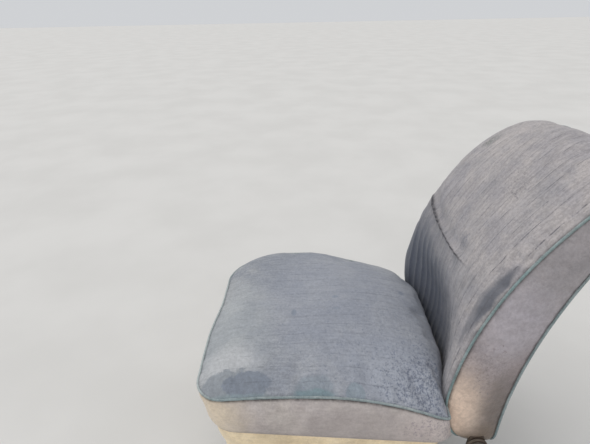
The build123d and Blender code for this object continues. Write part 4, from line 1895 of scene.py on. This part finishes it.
@dataclass(frozen=True)
class Stitching:
    """Row of thread stitches, each a low arch that dips into the cover at its ends."""

    thread: LeatherCloth
    pitch: float = 6.2
    share: float = 0.74
    thickness: float = 0.7
    rise: float = 0.45
    dip: float = 0.25
    points: int = 6
    sides: int = 6

    def lay(self, name: str, path: np.ndarray, outward: np.ndarray, body: str,
            slot: str) -> bpy.types.Object:
        """Sew along a closed line.

        Args:
            name: Name of the piece.
            path: Points of the line, on the cover.
            outward: Unit vector out of the cover at each point.
            body: The body it rides on.
            slot: Not used.

        Returns:
            The piece.
        """
        line = resampled(np.concatenate([path, outward], 1), self.pitch)
        place, out = line[:, :3], unit(line[:, 3:])
        step = (np.roll(place, -1, 0) - place) * self.share
        t = np.linspace(0, 1, self.points)[:, None]
        stitches = [start + along * t + up * self.rise * (arch(t) - self.dip)
                    for start, along, up in zip(place, step, out)]
        piece = tubes_object(name, stitches, self.thickness / 2, self.sides, closed=False)
        return dress(piece, (self.thread,), body)


@dataclass
class RearPanel:
    """Covered board on the back of the backrest, with a rolled and stitched edge."""

    side: BackrestSide
    half_width: float = 212.0
    heel_radius: float = 45.0
    top_radius: float = 104.0
    inset: float = 16.0
    thickness: float = 4.0
    gap: float = 0.3
    edge_radius: float = 4.5
    seam_inset: float = 11.0
    seam_groove: float = 0.9
    seam_width: float = 1.3
    stitch_depth: float = 0.75
    unevenness: float = 0.5
    uneven_from: float = 14.0

    def outline(self) -> Outline:
        """The board's outline, with heights along the backrest's chord."""
        top = float(self.side.rear().marks[-1])
        return Outline(self.half_width, 0.0, top, self.heel_radius, self.top_radius).drawn_in(self.inset)

    def points(self, x: np.ndarray, height: np.ndarray, out: np.ndarray | float) -> np.ndarray:
        """Points that stand behind the backrest's rear.

        Args:
            x: X of each point.
            height: Its height along the chord.
            out: How far it stands out.

        Returns:
            The points.
        """
        y, z = self.side.rear().at(height)
        forward_y, forward_z = self.side.rear().forward(height)
        return np.stack([x, y - forward_y * out, z - forward_z * out], -1)

    def seam(self) -> bpy.types.Object:
        """Sew the stitches that show round the board.

        Returns:
            The piece.
        """
        outline = self.outline().drawn_in(self.seam_inset)
        x, share = np.meshgrid(crowded(-outline.half_width, outline.half_width, count=121, ends=0.8),
                               np.linspace(0, 1, 60))
        height = outline.first(x) + (outline.last(x) - outline.first(x)) * share
        row, column = rim_index(*x.shape)
        line = self.points(x, height, self.gap + self.thickness - self.stitch_depth)[row, column]
        forward_y, forward_z = self.side.rear().forward(height)
        outward = np.stack([0 * x, -forward_y, -forward_z], -1)[row, column]
        return Stitching(THREAD).lay("rear_panel_stitches", line, outward, "backrest",
                                     "rear_panel_cover")

    def build(self) -> bpy.types.Object:
        """Make the board and its cover.

        Returns:
            The piece.
        """
        outline = self.outline()
        x, share = np.meshgrid(crowded(-outline.half_width, outline.half_width, count=61, ends=0.8),
                               crowded(0, 1, count=90, ends=0.6))
        height = outline.first(x) + (outline.last(x) - outline.first(x)) * share
        edge = np.minimum(np.minimum(outline.half_width - np.abs(x), height - outline.first(x)),
                          outline.last(x) - height)
        rounded = 1 - (1 - np.clip(edge / self.edge_radius, 0, 1)) ** 2
        roll = self.thickness * np.sqrt(np.clip(rounded, 0.02, 1))
        sewn = -self.seam_groove * bell(edge, self.seam_inset, self.seam_width)
        soft = waves(self.unevenness, x, height, (38, 57)) * (edge > self.uneven_from)
        outer = self.points(x, height, self.gap + roll + sewn + soft)
        inner = self.points(x, height, self.gap)
        row, column = rim_index(*x.shape)
        made = Shell()
        made.add("face", outer, Region.FACE)
        made.add("back", inner, Region.FACE)
        made.add("band", np.stack([outer[row, column], inner[row, column]]), Region.FACE, closed=True)
        made.merge()
        piece = make_object("rear_panel_cover", made.points, made.quads)
        # painted shade in the sewn groove round the board
        groove = made.scatter({"face": 0.7 * bell(edge, self.seam_inset, 1.6)[..., None],
                               "back": np.zeros((*x.shape, 1)),
                               "band": np.zeros((2, len(row), 1))})
        store(piece, "groove", groove[:, 0])
        return dress(piece, (REAR_COVER,), "backrest", "backrest_panel")


@dataclass(frozen=True)
class Piping:
    """Covered cord that is sewn into a seam."""

    cover: LeatherCloth
    radius: float = 2.2
    sides: int = 10

    def lay(self, name: str, path: np.ndarray, body: str) -> bpy.types.Object:
        """Lay the piping along the points of a seam, as a piece that rides on some body."""
        piece = tubes_object(name, [path], self.radius, self.sides, closed=True)
        return dress(piece, (self.cover,), body)


@dataclass(frozen=True)
class SeatSprings:
    """Zigzag springs of round wire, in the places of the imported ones."""

    count: int = 4
    apart: float = 85.0
    width: float = 64.0
    bends: int = 7
    bend_radius: float = 12.0
    bend_points: int = 9
    sides: int = 12

    def route(self, x: float, first: float, last: float, z: float) -> np.ndarray:
        """Centreline of one spring, whose bends are round.

        Args:
            x: Middle of the spring.
            first: Y of its first straight wire.
            last: Y of its last one.
            z: Height of the wire.

        Returns:
            Points along the wire.
        """
        rows = np.linspace(first, last, self.bends + 1)
        reach = np.where(np.arange(len(rows)) % 2 == 0, 0.5, -0.5) * self.width
        bends = np.stack([x + np.stack([-reach, reach], 1).ravel(), np.repeat(rows, 2)], 1)
        turn = np.linspace(0, math.pi / 2, self.bend_points)[:, None]
        points = [bends[:1]]
        for before, here, after in zip(bends, bends[1:], bends[2:]):
            came, goes = unit(here - before), unit(after - here)
            points.append(here + self.bend_radius * (goes * (1 - np.cos(turn)) - came * (1 - np.sin(turn))))
        run = np.concatenate([*points, bends[-1:]])
        return np.concatenate([run, np.full((len(run), 1), z)], 1)

    def build(self) -> bpy.types.Object:
        """Make the springs.

        Returns:
            The piece.
        """
        low, high = (np.array(corner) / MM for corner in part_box("seat_springs"))
        wire = (high[2] - low[2]) / 2
        routes = [self.route((i - (self.count - 1) / 2) * self.apart, low[1] + wire, high[1] - wire,
                             (low[2] + high[2]) / 2) for i in range(self.count)]
        piece = tubes_object("seat_spring_wires", routes, wire, self.sides, closed=False)
        return dress(piece, (SPRING_STEEL,), "seat_frame", "seat_springs")


class Seat:
    """The whole seat: upholstery, springs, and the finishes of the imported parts."""

    def __init__(self) -> None:
        """Read the frame's sizes."""
        pivot = next(j for j in frame["joints"] if j["name"] == "backrest_recline")["pos_m"]
        self.side = BackrestSide(pivot=(pivot[1] / MM, pivot[2] / MM))
        self.pad_low, self.pad_high = (np.array(corner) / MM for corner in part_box("cushion_pad"))
        self.box_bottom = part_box("cushion_box")[0].z / MM

    def build(self) -> None:
        """Pads, rear panel, piping and springs."""
        both = {"body": "seat_frame", "half_width": self.pad_high[0], "front_y": self.pad_low[1],
                "backrest": self.side.front()}
        pad = CushionPad(
            name="cushion_pad_cover", node="cushion_pad", slot="blue_grey_cover", fill=0.8,
            covers=(CUSHION_COVER, BOXING_COVER, TAN_COVER), top_z=self.pad_high[2], **both)
        box = CushionBox(
            name="cushion_box_cover", node="cushion_box", slot="tan_cover", fill=0.9,
            covers=(TAN_COVER, TAN_COVER, REAR_COVER), bottom_z=self.box_bottom, rest_gap=3.0,
            face_cap=0.2, band_cap=4.0, back_cap=0.2, **both)
        backrest = BackrestPad(
            name="backrest_pad_cover", body="backrest", node="backrest_pad",
            slot="blue_grey_cover", fill=0.7, covers=(BACKREST_COVER, SIDE_COVER, REAR_COVER),
            side=self.side, face_cap=7.0)
        pad_shell, box_shell, back_shell = (soft.build() for soft in (pad, box, backrest))
        panel = RearPanel(side=self.side)
        panel.build()
        panel.seam()
        for name, cover, soft, shell, grid, outward in (
                ("cushion_piping", CUSHION_PIPING, pad, pad_shell, "face", 1.2),
                ("backrest_front_piping", PIPING_COVER, backrest, back_shell, "face", 1.2),
                ("backrest_rear_piping", CUSHION_PIPING, backrest, back_shell, "back", 0.6),
                ("box_hem", TAN_COVER, box, box_shell, "back", 0.4)):
            Piping(cover).lay(name, soft.rim_path(shell, grid, outward), soft.body)
        SeatSprings().build()

    def finish_packed(self) -> None:
        """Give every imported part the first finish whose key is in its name."""
        for name, node in frame["nodes"].items():
            finish = next(made for key, made in PACKED_FINISHES.items() if key in name)
            node.data.materials.clear()
            node.data.materials.append(material_of(finish))


@dataclass(frozen=True)
class Studio:
    """Pale floor, soft lights and the photograph's camera."""

    camera_place: Point = (0.825, -0.067, 0.963)
    right: Point = (-0.01966, 0.99964, -0.01850)
    above: Point = (-0.42657, 0.00835, 0.90442)
    behind: Point = (0.90424, 0.02567, 0.42625)
    focal_pixels: float = 460.0
    image_width: float = 590.0
    sensor: float = 36.0
    floor_half: float = 30.0
    sky_colour: tuple[float, float, float, float] = (0.95, 0.97, 1.0, 1)
    sky_strength: float = 0.66

    def camera(self) -> None:
        """Set the camera where the photograph was taken."""
        data = bpy.data.cameras.new("camera")
        data.sensor_width = self.sensor
        data.lens = self.sensor * self.focal_pixels / self.image_width
        eye = bpy.data.objects.new("camera", data)
        turn = Matrix((self.right, self.above, self.behind)).transposed()
        eye.matrix_world = Matrix.Translation(self.camera_place) @ turn.to_4x4()
        bpy.context.scene.collection.objects.link(eye)
        bpy.context.scene.camera = eye

    def floor(self) -> None:
        """Lay the floor at the height that the stand rests on."""
        half = self.floor_half / MM
        made = make_object("floor", [[-half, -half, 0], [half, -half, 0], [half, half, 0],
                                     [-half, half, 0]], [[0, 1, 2, 3]])
        made.data.materials.append(material_of(PaleFloor("floor_pale")))

    def sun(self, name: str, towards: Point, strength: float, width: float, colour: Point) -> None:
        """Add one wide soft light that is even over the whole floor.

        Args:
            name: Its name.
            towards: Direction in which the light is seen.
            strength: Its strength.
            width: Angle that it fills, in degrees.
            colour: Its colour.
        """
        data = bpy.data.lights.new(name, "SUN")
        data.energy = strength
        data.angle = math.radians(width)
        data.color = colour
        lamp = bpy.data.objects.new(name, data)
        lamp.rotation_mode = "QUATERNION"
        lamp.rotation_quaternion = Vector(towards).to_track_quat("Z", "Y")
        bpy.context.scene.collection.objects.link(lamp)

    def light(self) -> None:
        """Plain soft studio light, stronger from above and in front."""
        world = bpy.data.worlds.new("studio")
        world.use_nodes = True
        sky = world.node_tree.nodes["Background"].inputs
        sky["Color"].default_value = self.sky_colour
        sky["Strength"].default_value = self.sky_strength
        bpy.context.scene.world = world
        self.sun("sky", towards=(-0.25, -0.75, 1.6), strength=1.15, width=70, colour=(1.0, 0.985, 0.96))
        self.sun("side", towards=(1.6, -0.5, 0.7), strength=0.55, width=60, colour=(1.0, 0.96, 0.92))

    def build(self) -> None:
        """Set up everything round the seat."""
        self.camera()
        self.floor()
        self.light()
        bpy.context.scene.view_settings.view_transform = "Standard"


def corners(box: tuple[Vector, Vector]) -> list[list[float]]:
    """A box's two corners as plain numbers."""
    return [[float(value) for value in corner] for corner in box]


def main() -> None:
    """Build the seat and its studio."""
    logging.basicConfig(level=logging.INFO, format="%(message)s")
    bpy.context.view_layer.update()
    Studio().build()
    seat = Seat()
    seat.finish_packed()
    seat.build()


if __name__ == "__main__":
    main()
